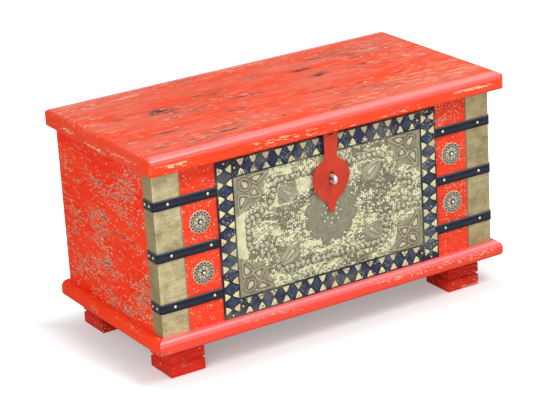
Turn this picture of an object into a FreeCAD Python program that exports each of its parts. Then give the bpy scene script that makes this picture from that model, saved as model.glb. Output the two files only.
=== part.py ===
import FreeCAD, Part
import math
import os

# A painted wooden storage chest on four grooved block feet, with a hinged lid.
# Brass sheets wrap its front corners under iron straps, and an embossed brass
# panel fills a mosaic frame, under a hinged hasp that closes over a staple.
# Millimetres. +X is to the right, +Y to the back, +Z up.
# The origin is on the floor, under the middle of the lid.

Vector = FreeCAD.Vector
os.makedirs("parts", exist_ok=True)

# Driving dimensions of the wooden case
lid_length = 800.0
lid_depth = 412.0
lid_thickness = 35.0
lid_front_overhang = 28.5
lid_back_overhang = 5.8
lid_side_overhang = 18.5
lid_top_round = 11.5
lid_bottom_round = 5.0
lid_corner_round = 4.0
body_height = 324.0
wall = 18.0
body_corner_round = 3.0
bottom_thickness = 10.0
plinth_height = 32.0
plinth_width = 60.0
plinth_front_reach = 16.3
plinth_side_reach = 18.0
plinth_back_reach = 3.0
plinth_top_round = 13.0
plinth_bottom_round = 9.0
foot_width = 75.0
foot_depth = 76.0
foot_height = 64.0
foot_side_inset = 20.0
foot_front_inset = 19.0
foot_back_inset = 10.0
overrun = 5.0
fit_clearance = 0.05

# Levels and faces that the pieces share
plinth_top = foot_height + plinth_height
body_top = plinth_top + body_height
lid_top = body_top + lid_thickness
body_front = -lid_depth / 2 + lid_front_overhang
body_back = lid_depth / 2 - lid_back_overhang
body_half = lid_length / 2 - lid_side_overhang
inner_front = body_front + wall
inner_back = body_back - wall
inner_half = body_half - wall

# Grooves of the feet
groove_heights = (26.0, 51.5)
groove_depth = 4.0
groove_half_width = 3.5
foot_chamfer = 2.0
foot_dowel_radius = 6.0
foot_dowel_length = 44.0

# Dowels across the corners of the case
corner_dowel_radius = 4.0
corner_dowel_length = 36.0
corner_dowel_in_side = 12.0
corner_dowel_inset = 30.0

# Cleats under the lid
cleat_width = 40.0
cleat_thickness = 18.0
cleat_inset = 123.5
cleat_end_gap = 14.0
cleat_chamfer = 8.0
cleat_place = inner_half - cleat_inset

# Brass corner sheets and the iron straps over them
sheet_thickness = 0.8
sheet_front_leg = 57.0
sheet_side_leg = 34.0
sheet_top_gap = 2.0
strap_thickness = 2.0
strap_width = 19.0
strap_side_leg = 33.0
strap_bottom_margin = 56.5
strap_top_margin = 65.5
strap_count = 3
strap_pitch = (body_height - strap_bottom_margin - strap_top_margin) / (strap_count - 1)
nail_outer_place = 28.5
nail_inner_place = 19.0
nail_side_places = (7.0, 23.0)
nail_head_radius = 3.2
nail_head_height = 1.8
nail_shank = 2.2
nail_length = 15.0

# Mosaic frame around the embossed panel
rosette_field = 75.5
frame_top_gap = 11.0
frame_half_width = body_half - sheet_front_leg - rosette_field
frame_height = body_height - frame_top_gap
frame_strip = 36.0
frame_thickness = 4.0
frame_rim = 2.4
frame_rim_height = 0.8
frame_joint = 0.1
tile_base = 17.0
tile_depth = 13.2
tile_tip = 3.6
tile_thickness = 1.4
tile_proud = 0.4
tile_pitch = 27.8
frame_nail_radius = 2.2
frame_nail_height = 1.2
frame_nail_length = 14.0
frame_nail_shank = 1.6

# Embossed panel and what is raised on it
panel_thickness = 1.2
panel_gap = 0.3
panel_half_width = frame_half_width - frame_strip - panel_gap
panel_low = plinth_top + frame_strip + panel_gap
panel_high = plinth_top + frame_height - frame_strip - panel_gap
panel_middle = (panel_low + panel_high) / 2
panel_face = body_front - panel_thickness
drop_tile_width = 42.0
drop_tile_height = 36.0
drop_tile_thickness = 0.8
drop_tile_across_share = 0.451
drop_tile_up_share = 0.516
drop_tile_place_x = panel_half_width * drop_tile_across_share
drop_tile_place_z = (panel_high - panel_middle) * drop_tile_up_share
ornament_across_share = 0.348
ornament_width = panel_half_width * ornament_across_share
ornament_height = 77.0
ornament_edge = 9.0
ornament_thickness = 1.0
ornament_relief = 1.2
ornament_margin = 1.0
drop_radius = 9.0
drop_reach = 19.0
drop_relief = 1.4
medallion_radius = 60.0
medallion_lobe = 17.0
medallion_lobes = 12
medallion_thickness = 1.0

# Rosettes
rosette_radius = 23.0
rosette_lobe = 4.4
rosette_lobes = 16
rosette_rim = 1.2
rosette_crown = 3.4
rosette_crown_radius = 7.0
rosette_skirt_radius = 15.0
rosette_piercing = 1.4
rosette_piercing_ring = 18.6
rosette_eye = 0.9
rosette_eye_ring = 14.6
rosette_groove = 0.7
rosette_off_middle = 0.75
rosette_frame_gap = rosette_field / 2 + rosette_off_middle
rosette_nail_radius = 3.6
rosette_nail_height = 2.6

# Staple and its plate
staple_wire = 3.2
staple_half_height = 6.6
staple_reach = 27.0
staple_below_axis = 93.0
staple_plate_width = 20.0
staple_plate_height = 34.0
staple_plate_round = 4.0
staple_plate_thickness = 1.2

# Hasp and its hinge under the front of the lid
hasp_sheet = 2.0
hasp_pin_radius = 1.5
hasp_axis_drop = 4.0
hasp_axis_standoff = 10.5
hasp_top_half = 16.0
hasp_neck_half = 13.8
hasp_neck_standoff = 8.0
hasp_disc_radius = 42.0
hasp_disc_standoff = 6.5
hasp_disc_drop = 93.0
hasp_tip_standoff = 4.5
hasp_tip_drop = 163.0
hasp_tip_half = 4.5
hasp_shoulder_half = 15.0
hasp_shoulder_drop = 43.5
hasp_slot_width = 11.0
hasp_slot_height = 26.0
hasp_slot_below = 2.6
hasp_gap_half = 5.5
hasp_knuckle_gap = 0.3
hasp_bend = 18.0
hasp_leaf_thickness = 2.0
hasp_leaf_length = 40.0
hasp_leaf_relief = 0.4
hasp_screw_places = (16.0, 26.0, 36.0)

# Butt hinges between the lid and the back panel
hinge_length = 70.0
hinge_inset = 151.5
hinge_place = body_half - hinge_inset
hinge_leaf = 1.4
hinge_leaf_depth = 15.0
hinge_knuckle = 2.8
hinge_pin = 1.25
hinge_back_gap = 0.2
hinge_knuckles = 5
hinge_knuckle_gap = 0.25
hinge_notch_gap = 0.5
mortise_gap = 0.1
screw_radius = 1.5
screw_head_radius = 2.9
screw_head_height = 1.3
screw_length = 14.0
hinge_screw_inset = 10.0


def box(x_low, x_high, y_low, y_high, z_low, z_high):
    """A block given by its two extreme corners."""
    return Part.makeBox(x_high - x_low, y_high - y_low, z_high - z_low, Vector(x_low, y_low, z_low))


def in_plan(z):
    """Puts flat points into the horizontal plane at height z."""
    return lambda p: Vector(p[0], p[1], z)


def facing_front(y):
    """Puts flat points into the upright plane at depth y, seen from the front."""
    return lambda p: Vector(p[0], y, p[1])


def facing_side(x):
    """Puts flat points into the upright plane at x, as (depth, height)."""
    return lambda p: Vector(x, p[0], p[1])


def flat_face(corners, place):
    """A face with straight sides."""
    points = [place(corner) for corner in corners]
    return Part.Face(Part.makePolygon(points + points[:1]))


def corner_arc(before, here, after, radius):
    """Start, middle and end of the arc that rounds one corner of an outline."""
    here = Vector(here[0], here[1], 0)
    back = (Vector(before[0], before[1], 0) - here).normalize()
    ahead = (Vector(after[0], after[1], 0) - here).normalize()
    half_angle = back.getAngle(ahead) / 2
    cut = radius / math.tan(half_angle)
    inward = (back + ahead).normalize()
    centre = here + inward * (radius / math.sin(half_angle))
    return here + back * cut, centre - inward * radius, here + ahead * cut


def rounded_face(corners, radii, place):
    """A face whose corners are rounded by their radii; a radius of zero leaves a sharp corner."""
    arcs = []
    for index, here in enumerate(corners):
        radius = radii[index]
        if radius > 0:
            arcs.append(corner_arc(corners[index - 1], here, corners[(index + 1) % len(corners)], radius))
        else:
            arcs.append((Vector(here[0], here[1], 0),) * 3)
    edges = []
    for index, (start, middle, end) in enumerate(arcs):
        before = arcs[index - 1][2]
        if before.distanceToPoint(start) > fit_clearance / 100:
            edges.append(Part.LineSegment(place(before), place(start)).toShape())
        if radii[index] > 0:
            edges.append(Part.Arc(place(start), place(middle), place(end)).toShape())
    return Part.Face(Part.Wire(edges))


def aim(shape, position, direction):
    """Moves a shape built along +Z so that it stands at a position and points along a direction."""
    placed = shape.copy()
    placed.Placement = FreeCAD.Placement(position, FreeCAD.Rotation(Vector(0, 0, 1), direction))
    return placed


def mirrored(shape):
    """The same shape on the other side of the chest."""
    return shape.mirror(Vector(0, 0, 0), Vector(1, 0, 0))


def group(solids):
    """Separate solids that share one node."""
    return Part.makeCompound(solids)


def save(name, shape):
    """Writes one sub-part and says how many solids and how much volume it has."""
    shape.exportStep("parts/" + name + ".step")
    print(name, len(shape.Solids), round(shape.Volume), shape.isValid())


# Places of the nails, the screws and the dowels, which the holes share

def strap_levels():
    """Heights of the strap centres."""
    return [plinth_top + strap_bottom_margin + strap_pitch * row for row in range(strap_count)]


def strap_nail_places(side):
    """Position and outward direction of every strap nail on one side."""
    outer_face = sheet_thickness + strap_thickness
    places = []
    for level in strap_levels():
        for across in (body_half - nail_outer_place, frame_half_width + nail_inner_place):
            places.append((Vector(side * across, body_front - outer_face, level), Vector(0, -1, 0)))
        for back in nail_side_places:
            depth = body_front + strap_side_leg - back
            places.append((Vector(side * (body_half + outer_face), depth, level), Vector(side, 0, 0)))
    return places


def nail_holes(side):
    """Square holes for the strap nails of one side, to cut from what they pass through."""
    width = nail_shank + 2 * fit_clearance
    length = nail_length + fit_clearance
    hole = Part.makeBox(width, width, length + overrun, Vector(-width / 2, -width / 2, -length))
    return [aim(hole, position, direction) for position, direction in strap_nail_places(side)]


def rosette_places():
    """Centres of the four rosettes, by name."""
    levels = strap_levels()
    places = {}
    for side, side_name in ((-1, "left"), (1, "right")):
        for row, row_name in ((0, "lower"), (1, "upper")):
            across = side * (frame_half_width + rosette_frame_gap)
            level = (levels[row] + levels[row + 1]) / 2
            places["rosette_" + side_name + "_" + row_name] = Vector(across, body_front, level)
    return places


def round_pin(radius, length):
    """A round pin or drill, from its place along +Z."""
    return Part.makeCylinder(radius, length)


def foot_centres():
    """Centres of the four feet in plan, by name."""
    across = body_half - foot_side_inset - foot_width / 2
    front = body_front + foot_front_inset + foot_depth / 2
    back = body_back - foot_back_inset - foot_depth / 2
    return {
        "foot_front_left": (-across, front),
        "foot_front_right": (across, front),
        "foot_back_left": (-across, back),
        "foot_back_right": (across, back),
    }


def foot_dowels(clearance):
    """One upright dowel in each foot, half of it in the plinth, or its hole."""
    low = foot_height - foot_dowel_length / 2 - clearance
    pin = round_pin(foot_dowel_radius + clearance, foot_dowel_length + 2 * clearance)
    return [aim(pin, Vector(x, y, low), Vector(0, 0, 1)) for x, y in foot_centres().values()]


def corner_dowels(side, clearance):
    """Dowels that join the front and back panels to one side panel, or their holes."""
    pin = round_pin(corner_dowel_radius + clearance, corner_dowel_length + 2 * clearance)
    outer = inner_half + corner_dowel_in_side + clearance
    dowels = []
    for depth in (body_front + wall / 2, body_back - wall / 2):
        for level in (plinth_top + corner_dowel_inset, body_top - corner_dowel_inset):
            dowels.append(aim(pin, Vector(side * outer, depth, level), Vector(-side, 0, 0)))
    return dowels


# Wooden case

def side_panel(side):
    """A side panel over the whole depth, with its outer upright edges eased."""
    corners = [
        (inner_half, body_front),
        (body_half, body_front),
        (body_half, body_back),
        (inner_half, body_back),
    ]
    face = rounded_face(corners, (0, body_corner_round, body_corner_round, 0), in_plan(plinth_top))
    panel = face.extrude(Vector(0, 0, body_height))
    panel = panel if side > 0 else mirrored(panel)
    return panel.cut(nail_holes(side) + corner_dowels(side, fit_clearance))


def front_panel():
    """The front panel between the sides, with the relief for the hasp's leaf in its top edge."""
    panel = box(-inner_half, inner_half, body_front, inner_front, plinth_top, body_top)
    half = hasp_top_half + hasp_leaf_relief
    depth = hasp_leaf_thickness + hasp_leaf_relief
    relief = box(-half, half, body_front - overrun, inner_front + overrun,
                 body_top - depth, body_top + overrun)
    holes = staple_holes() + frame_nail_holes() + rosette_nail_holes()
    for side in (-1, 1):
        holes += nail_holes(side) + corner_dowels(side, fit_clearance)
    return panel.cut([relief] + holes)


def back_panel():
    """The back panel between the sides, with a mortise and pilot holes for each hinge leaf."""
    panel = box(-inner_half, inner_half, inner_back, body_back, plinth_top, body_top)
    cuts = corner_dowels(-1, fit_clearance) + corner_dowels(1, fit_clearance)
    for side in (-1, 1):
        cuts.append(hinge_mortise(side, -1))
        cuts += hinge_screws(side, -1, fit_clearance)
    return panel.cut(cuts)


def bottom_board():
    """The floor of the chest, inside the four panels, on the plinth."""
    return box(-inner_half, inner_half, inner_front, inner_back, plinth_top, plinth_top + bottom_thickness)


def plinth_section(outer, inner, place):
    """Section of the plinth moulding, with its outer edge rounded over above and below."""
    corners = [(outer, foot_height), (outer, plinth_top), (inner, plinth_top), (inner, foot_height)]
    return rounded_face(corners, (plinth_bottom_round, plinth_top_round, 0, 0), place)


def plinth_front():
    """Front moulding, mitred at both ends."""
    outer_x = body_half + plinth_side_reach
    outer_y = body_front - plinth_front_reach
    length = 2 * outer_x
    section = plinth_section(outer_y, outer_y + plinth_width, facing_side(-outer_x))
    footprint = [
        (-outer_x, outer_y),
        (outer_x, outer_y),
        (outer_x - plinth_width, outer_y + plinth_width),
        (-outer_x + plinth_width, outer_y + plinth_width),
    ]
    plan = flat_face(footprint, in_plan(foot_height)).extrude(Vector(0, 0, plinth_height))
    return section.extrude(Vector(length, 0, 0)).common(plan).cut(foot_dowels(fit_clearance))


def plinth_side(side):
    """Side moulding, mitred in front and square at the back."""
    outer_x = body_half + plinth_side_reach
    outer_y = body_front - plinth_front_reach
    end_y = body_back + plinth_back_reach
    section = plinth_section(outer_x, outer_x - plinth_width, facing_front(outer_y))
    footprint = [
        (outer_x, outer_y),
        (outer_x, end_y),
        (outer_x - plinth_width, end_y),
        (outer_x - plinth_width, outer_y + plinth_width),
    ]
    plan = flat_face(footprint, in_plan(foot_height)).extrude(Vector(0, 0, plinth_height))
    rail = section.extrude(Vector(0, end_y - outer_y, 0)).common(plan)
    rail = rail if side > 0 else mirrored(rail)
    return rail.cut(foot_dowels(fit_clearance))


def plinth_back():
    """Plain rail that closes the plinth behind, between the two side mouldings."""
    half = body_half + plinth_side_reach - plinth_width
    end_y = body_back + plinth_back_reach
    rail = box(-half, half, end_y - plinth_width, end_y, foot_height, plinth_top)
    return rail.cut(foot_dowels(fit_clearance))


def grooved_outline(half):
    """Half of a foot's side view, from the floor up, with its V grooves."""
    outline = [(half - foot_chamfer, 0), (half, foot_chamfer)]
    for height in groove_heights:
        outline.append((half, height - groove_half_width))
        outline.append((half - groove_depth, height))
        outline.append((half, height + groove_half_width))
    outline.append((half, foot_height))
    return outline


def foot(centre):
    """A square block with V grooves that run round it and meet at the corners."""
    across = grooved_outline(foot_width / 2)
    along = grooved_outline(foot_depth / 2)
    across_face = flat_face(across + [(-x, z) for x, z in reversed(across)], facing_front(-foot_depth / 2))
    along_face = flat_face(along + [(-y, z) for y, z in reversed(along)], facing_side(-foot_width / 2))
    block = across_face.extrude(Vector(0, foot_depth, 0)).common(along_face.extrude(Vector(foot_width, 0, 0)))
    block.translate(Vector(centre[0], centre[1], 0))
    return block.cut(foot_dowels(fit_clearance))


def lid_board():
    """The lid, rounded over above and eased below, with its mortises, hinge notches and pilot holes."""
    half_x = lid_length / 2
    half_y = lid_depth / 2
    radii = (lid_bottom_round, lid_bottom_round, lid_top_round, lid_top_round)
    long_view = [(-half_x, body_top), (half_x, body_top), (half_x, lid_top), (-half_x, lid_top)]
    end_view = [(-half_y, body_top), (half_y, body_top), (half_y, lid_top), (-half_y, lid_top)]
    plan = [(-half_x, -half_y), (half_x, -half_y), (half_x, half_y), (-half_x, half_y)]
    board = rounded_face(long_view, radii, facing_front(-half_y)).extrude(Vector(0, lid_depth, 0))
    board = board.common(rounded_face(end_view, radii, facing_side(-half_x)).extrude(Vector(lid_length, 0, 0)))
    corners = rounded_face(plan, (lid_corner_round,) * 4, in_plan(body_top))
    board = board.common(corners.extrude(Vector(0, 0, lid_thickness)))
    cuts = hasp_screws(fit_clearance)
    for side in (-1, 1):
        cuts.append(hinge_mortise(side, 1))
        cuts.append(hinge_notch(side))
        cuts += hinge_screws(side, 1, fit_clearance)
    return board.cut(cuts)


def lid_cleat(side):
    """A batten under the lid that keeps it flat, with its lower ends bevelled."""
    low = body_top - cleat_thickness
    front = inner_front + cleat_end_gap
    back = inner_back - cleat_end_gap
    outline = [
        (front, body_top),
        (front, low + cleat_chamfer),
        (front + cleat_chamfer, low),
        (back - cleat_chamfer, low),
        (back, low + cleat_chamfer),
        (back, body_top),
    ]
    start = side * cleat_place - cleat_width / 2
    return flat_face(outline, facing_side(start)).extrude(Vector(cleat_width, 0, 0))


# Brass corners, straps and nails

def bent_strip(lift, thickness, front_end, side_end, low, high, side):
    """A flat strip bent round a front corner of the case, held off the wood by lift."""
    back_x = body_half + lift
    back_y = body_front - lift
    face_x = back_x + thickness
    face_y = back_y - thickness
    corners = [
        (front_end, back_y),
        (front_end, face_y),
        (face_x, face_y),
        (face_x, side_end),
        (back_x, side_end),
        (back_x, back_y),
    ]
    bend = body_corner_round + lift
    face = rounded_face(corners, (0, 0, bend + thickness, 0, 0, bend), in_plan(low))
    strip = face.extrude(Vector(0, 0, high - low))
    return strip if side > 0 else mirrored(strip)


def corner_sheet(side):
    """Thin brass sheet from the plinth up to the lid."""
    sheet = bent_strip(0, sheet_thickness, body_half - sheet_front_leg, body_front + sheet_side_leg,
                       plinth_top, body_top - sheet_top_gap, side)
    return sheet.cut(nail_holes(side))


def strap(side, level):
    """Iron strap from the mosaic frame round the corner."""
    band = bent_strip(sheet_thickness, strap_thickness, frame_half_width, body_front + strap_side_leg,
                      level - strap_width / 2, level + strap_width / 2, side)
    return band.cut(nail_holes(side))


def dome(radius, height):
    """A low dome on a flat base, along +Z."""
    ball = (radius ** 2 + height ** 2) / (2 * height)
    cap = Part.makeSphere(ball)
    cap.translate(Vector(0, 0, height - ball))
    return cap.common(Part.makeCylinder(radius + overrun, height + overrun))


def square_nail(head_radius, head_height, shank, length):
    """A nail with a domed head and a square shank that points down -Z."""
    stem = Part.makeBox(shank, shank, length, Vector(-shank / 2, -shank / 2, -length))
    return dome(head_radius, head_height).fuse(stem)


def strap_nails():
    """All nails of the straps."""
    nail = square_nail(nail_head_radius, nail_head_height, nail_shank, nail_length)
    return group([aim(nail, place, way) for side in (-1, 1) for place, way in strap_nail_places(side)])


# Rosettes

def rosette():
    """A pierced brass rosette with a lobed rim and a grooved crown, lying on its back, face up."""
    ring = rosette_radius - rosette_lobe
    section = [
        (0, 0),
        (ring, 0),
        (ring, rosette_rim),
        (rosette_skirt_radius, rosette_rim),
        (rosette_crown_radius, rosette_crown),
        (0, rosette_crown),
    ]
    body = flat_face(section, facing_front(0)).revolve(Vector(0, 0, 0), Vector(0, 0, 1), 360)
    lobe = Part.makeCylinder(rosette_lobe, rosette_rim, Vector(ring, 0, 0))
    piercing = Part.makeCylinder(rosette_piercing, rosette_crown, Vector(rosette_piercing_ring, 0, 0))
    eye_low = rosette_rim / 3
    eye = Part.makeBox(2 * rosette_eye, 2 * rosette_eye, rosette_crown,
                       Vector(rosette_eye_ring - rosette_eye, -rosette_eye, eye_low))
    groove = petal_groove()
    step = 360 / rosette_lobes
    axis = Vector(0, 0, 1)
    lobes = []
    cuts = []
    for index in range(rosette_lobes):
        lobes.append(lobe.rotated(Vector(0, 0, 0), axis, step * index))
        cuts.append(piercing.rotated(Vector(0, 0, 0), axis, step * index))
        cuts.append(eye.rotated(Vector(0, 0, 0), axis, step * (index + 1 / 2)))
        cuts.append(groove.rotated(Vector(0, 0, 0), axis, step * (index + 1 / 2)))
    hole = nail_shank + 2 * fit_clearance
    cuts.append(Part.makeBox(hole, hole, rosette_crown + overrun, Vector(-hole / 2, -hole / 2, -overrun / 2)))
    return body.fuse(lobes).cut(cuts)


def petal_groove():
    """A radial V groove that follows the slope of the crown and parts two petals."""
    outer = rosette_eye_ring - 2 * rosette_eye
    inner = rosette_nail_radius
    slope = (rosette_crown - rosette_rim) / (rosette_skirt_radius - rosette_crown_radius)
    rise = rosette_crown + rosette_groove
    depth_outer = rosette_rim + (rosette_skirt_radius - outer) * slope
    wires = []
    for place, ridge in ((inner, rosette_crown), (outer, depth_outer)):
        corners = [
            Vector(place, -rosette_groove, rise),
            Vector(place, rosette_groove, rise),
            Vector(place, 0, ridge - rosette_groove),
        ]
        wires.append(Part.makePolygon(corners + corners[:1]))
    return Part.makeLoft(wires, True, True)


def rosette_nails():
    """The bright domed nail in the middle of each rosette."""
    nail = square_nail(rosette_nail_radius, rosette_nail_height, nail_shank, nail_length)
    lift = Vector(0, -rosette_crown, 0)
    return group([aim(nail, place + lift, Vector(0, -1, 0)) for place in rosette_places().values()])


def rosette_nail_holes():
    """Square holes in the front panel behind the rosettes."""
    width = nail_shank + 2 * fit_clearance
    length = nail_length - rosette_crown + fit_clearance
    hole = Part.makeBox(width, width, length + overrun, Vector(-width / 2, -width / 2, -length))
    return [aim(hole, place, Vector(0, -1, 0)) for place in rosette_places().values()]


# Mosaic frame and its tiles

def frame_strips():
    """Low and high corners of the four strips, seen from the front, by name."""
    low = plinth_top
    high = plinth_top + frame_height
    inner = frame_half_width - frame_strip
    return {
        "frame_left": (-frame_half_width, -inner, low, high),
        "frame_right": (inner, frame_half_width, low, high),
        "frame_bottom": (-inner + frame_joint, inner - frame_joint, low, low + frame_strip),
        "frame_top": (-inner + frame_joint, inner - frame_joint, high - frame_strip, high),
    }


def tile_outlines(strip):
    """Outlines of a strip's tiles: triangles with blunt tips that point at each other across the strip."""
    x_low, x_high, z_low, z_high = strip
    upright = z_high - z_low > x_high - x_low
    length = z_high - z_low if upright else x_high - x_low
    count = int((length - tile_base) / tile_pitch) + 1
    middle = (z_low + z_high) / 2 if upright else (x_low + x_high) / 2
    edges = (x_low, x_high) if upright else (z_low, z_high)
    outlines = []
    for index in range(count):
        centre = middle + (index - (count - 1) / 2) * tile_pitch
        for edge, inward in ((edges[0] + frame_rim, 1), (edges[1] - frame_rim, -1)):
            ends = [(centre - tile_base / 2, edge), (centre + tile_base / 2, edge)]
            tip = edge + inward * tile_depth
            tips = [(centre + tile_tip / 2, tip), (centre - tile_tip / 2, tip)]
            outline = ends + tips
            outlines.append([(b, a) for a, b in outline] if upright else outline)
    return outlines


def tile_floor():
    """Depth of the pockets' floors, in front of the body."""
    field = frame_thickness - frame_rim_height
    return body_front - field + (tile_thickness - tile_proud)


def frame_strip_piece(name):
    """One strip of the frame: a board with a raised rim along both long edges and a pocket for each tile."""
    x_low, x_high, z_low, z_high = frame_strips()[name]
    front = body_front - frame_thickness
    field = front + frame_rim_height
    board = box(x_low, x_high, front, body_front, z_low, z_high)
    if z_high - z_low > x_high - x_low:
        trough = box(x_low + frame_rim, x_high - frame_rim, front - overrun, field,
                     z_low - overrun, z_high + overrun)
    else:
        trough = box(x_low - overrun, x_high + overrun, front - overrun, field,
                     z_low + frame_rim, z_high - frame_rim)
    depth = tile_floor() - field
    cuts = [trough]
    for outline in tile_outlines(frame_strips()[name]):
        cuts.append(flat_face(outline, facing_front(field - overrun)).extrude(Vector(0, depth + overrun, 0)))
    return board.cut(cuts + frame_nail_holes())


def mosaic_tiles():
    """Every tile of the frame, seated in its pocket and a little proud of the ground."""
    tiles = []
    for strip in frame_strips().values():
        for outline in tile_outlines(strip):
            back = flat_face(outline, facing_front(tile_floor()))
            tiles.append(back.extrude(Vector(0, -tile_thickness, 0)))
    return group(tiles)


def frame_nail_places():
    """Nails at the ends of the strips, on the middle line of each."""
    places = []
    for x_low, x_high, z_low, z_high in frame_strips().values():
        upright = z_high - z_low > x_high - x_low
        middle_x = (x_low + x_high) / 2
        middle_z = (z_low + z_high) / 2
        inset = frame_rim * 2
        ends = [(middle_x, z_low + inset), (middle_x, z_high - inset)] if upright else [
            (x_low + inset, middle_z),
            (x_high - inset, middle_z),
        ]
        places += [Vector(x, body_front - frame_thickness + frame_rim_height, z) for x, z in ends]
    return places


def frame_nail_holes():
    """Square holes for the frame's nails."""
    width = frame_nail_shank + 2 * fit_clearance
    length = frame_nail_length + fit_clearance
    hole = Part.makeBox(width, width, length + overrun, Vector(-width / 2, -width / 2, -length))
    return [aim(hole, place, Vector(0, -1, 0)) for place in frame_nail_places()]


def frame_nails():
    """Small domed nails that hold the strips."""
    nail = square_nail(frame_nail_radius, frame_nail_height, frame_nail_shank, frame_nail_length)
    return group([aim(nail, place, Vector(0, -1, 0)) for place in frame_nail_places()])


# Embossed panel and its raised pieces

def embossed_panel():
    """The brass sheet, with four raised tiles that each carry a drop."""
    sheet = box(-panel_half_width, panel_half_width, panel_face, body_front, panel_low, panel_high)
    raised = []
    for side in (-1, 1):
        for level in (-1, 1):
            centre = (side * drop_tile_place_x, panel_middle + level * drop_tile_place_z)
            raised.append(drop_tile(centre, side, level))
    return sheet.fuse(raised).cut(staple_holes())


def drop_tile(centre, side, level):
    """A raised tile with a drop on it that points at the nearest corner of the panel."""
    x, z = centre
    front = panel_face - drop_tile_thickness
    tile = box(x - drop_tile_width / 2, x + drop_tile_width / 2, front, panel_face,
               z - drop_tile_height / 2, z + drop_tile_height / 2)
    outer = drop_wire(centre, side, level, drop_radius, drop_reach, front)
    inner = drop_wire(centre, side, level, drop_radius / 2, drop_reach / 2, front - drop_relief)
    return tile.fuse(Part.makeLoft([outer, inner], True))


def drop_wire(centre, side, level, radius, reach, depth):
    """Outline of a drop: a round end and a point, reach away from its middle, towards a corner."""
    pull = math.acos(radius / reach)
    aim_angle = math.atan2(level * drop_tile_height, side * drop_tile_width)
    first = aim_angle + pull
    last = aim_angle - pull + 2 * math.pi

    def at(angle, distance):
        return Vector(centre[0] + distance * math.cos(angle), depth, centre[1] + distance * math.sin(angle))

    tip = at(aim_angle, reach)
    round_end = Part.Arc(at(first, radius), at((first + last) / 2, radius), at(last, radius)).toShape()
    return Part.Wire([round_end, Part.LineSegment(at(last, radius), tip).toShape(),
                      Part.LineSegment(tip, at(first, radius)).toShape()])


def leaf_boss(outline_shares, base):
    """A raised leaf: its outline drawn in to a narrow ridge. Shares are of the ornament's two sides."""
    points = [(across * ornament_width, up * ornament_height) for across, up in outline_shares]
    middle_x = sum(x for x, _ in points) / len(points)
    middle_z = sum(z for _, z in points) / len(points)
    wires = []
    for draw_in, depth in ((1, base), (1 / 3, base - ornament_relief)):
        corners = [Vector(middle_x + (x - middle_x) * draw_in, depth, middle_z + (z - middle_z) * draw_in)
                   for x, z in points]
        wires.append(Part.makePolygon(corners + corners[:1]))
    return Part.makeLoft(wires, True, True)


# Leaf outlines on a corner ornament, as shares of its width and height from the panel's corner
edge_leaf_shares = ((0.52, 0.07), (0.88, 0.07), (0.80, 0.16), (0.58, 0.26))
side_leaf_shares = ((0.07, 0.52), (0.26, 0.58), (0.16, 0.80), (0.07, 0.88))
corner_leaf_shares = ((0.46, 0.50), (0.60, 0.50), (0.74, 0.72), (0.50, 0.64))
spiral_place_share = 0.28
spiral_outer_share = 0.21
spiral_inner_share = 0.17
spiral_drop_share = 0.11
ornament_notch_share = 0.66
ornament_waist_share = 0.42
ornament_tip_share = 0.80


def corner_ornament():
    """One brass corner: a scalloped plate with a ringed drop and three leaves, at the panel's corner (0, 0)."""
    width = ornament_width
    height = ornament_height
    corners = [
        (ornament_margin, ornament_margin),
        (width, ornament_margin),
        (width, ornament_edge),
        (width * ornament_notch_share, height * ornament_waist_share),
        (width * ornament_tip_share, height * ornament_tip_share),
        (width * ornament_waist_share, height * ornament_notch_share),
        (ornament_edge, height),
        (ornament_margin, height),
    ]
    soft = ornament_edge
    radii = (0, 0, soft / 3, soft, soft / 2, soft, soft / 3, 0)
    face = rounded_face(corners, radii, facing_front(0))
    plate = face.extrude(Vector(0, -ornament_thickness, 0))
    base = -ornament_thickness
    centre = Vector(width * spiral_place_share, base, width * spiral_place_share)
    forward = Vector(0, -1, 0)
    outer = Part.makeCylinder(width * spiral_outer_share, ornament_relief / 2, centre, forward)
    inner = Part.makeCylinder(width * spiral_inner_share, ornament_relief, centre, forward)
    drop = width * spiral_drop_share
    boss = Part.makeCone(drop, drop / 2, ornament_relief, centre, forward)
    leaves = [leaf_boss(shares, base) for shares in (edge_leaf_shares, side_leaf_shares, corner_leaf_shares)]
    return plate.fuse([outer.cut(inner), boss] + leaves)


def corner_ornaments():
    """The four ornaments, mirrored into the corners of the panel."""
    lower_left = corner_ornament()
    lower_left.translate(Vector(-panel_half_width, panel_face, panel_low))
    upper_left = lower_left.mirror(Vector(0, 0, panel_middle), Vector(0, 0, 1))
    return group([lower_left, upper_left, mirrored(lower_left), mirrored(upper_left)])


def medallion():
    """Round brass plate with a lobed edge in the middle of the panel."""
    centre = Vector(0, panel_face, panel_middle)
    forward = Vector(0, -1, 0)
    ring = medallion_radius - medallion_lobe
    plate = Part.makeCylinder(ring + medallion_lobe / 2, medallion_thickness, centre, forward)
    lobes = []
    for index in range(medallion_lobes):
        angle = 2 * math.pi * index / medallion_lobes
        offset = Vector(ring * math.cos(angle), 0, ring * math.sin(angle))
        lobes.append(Part.makeCylinder(medallion_lobe, medallion_thickness, centre + offset, forward))
    return plate.fuse(lobes).removeSplitter().cut(staple_holes())


# Staple

hasp_axis = Vector(0, body_front - hasp_axis_standoff, body_top - hasp_axis_drop)
staple_level = hasp_axis.z - staple_below_axis
staple_plate_back = panel_face - medallion_thickness


def staple_leg_places():
    """Heights of the two legs of the staple."""
    return (staple_level - staple_half_height, staple_level + staple_half_height)


def staple_holes():
    """Two holes for the legs, to cut from what they pass through."""
    radius = staple_wire + fit_clearance
    start = body_front - staple_reach
    length = staple_reach + wall - staple_wire
    return [Part.makeCylinder(radius, length, Vector(0, start, level), Vector(0, 1, 0))
            for level in staple_leg_places()]


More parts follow.
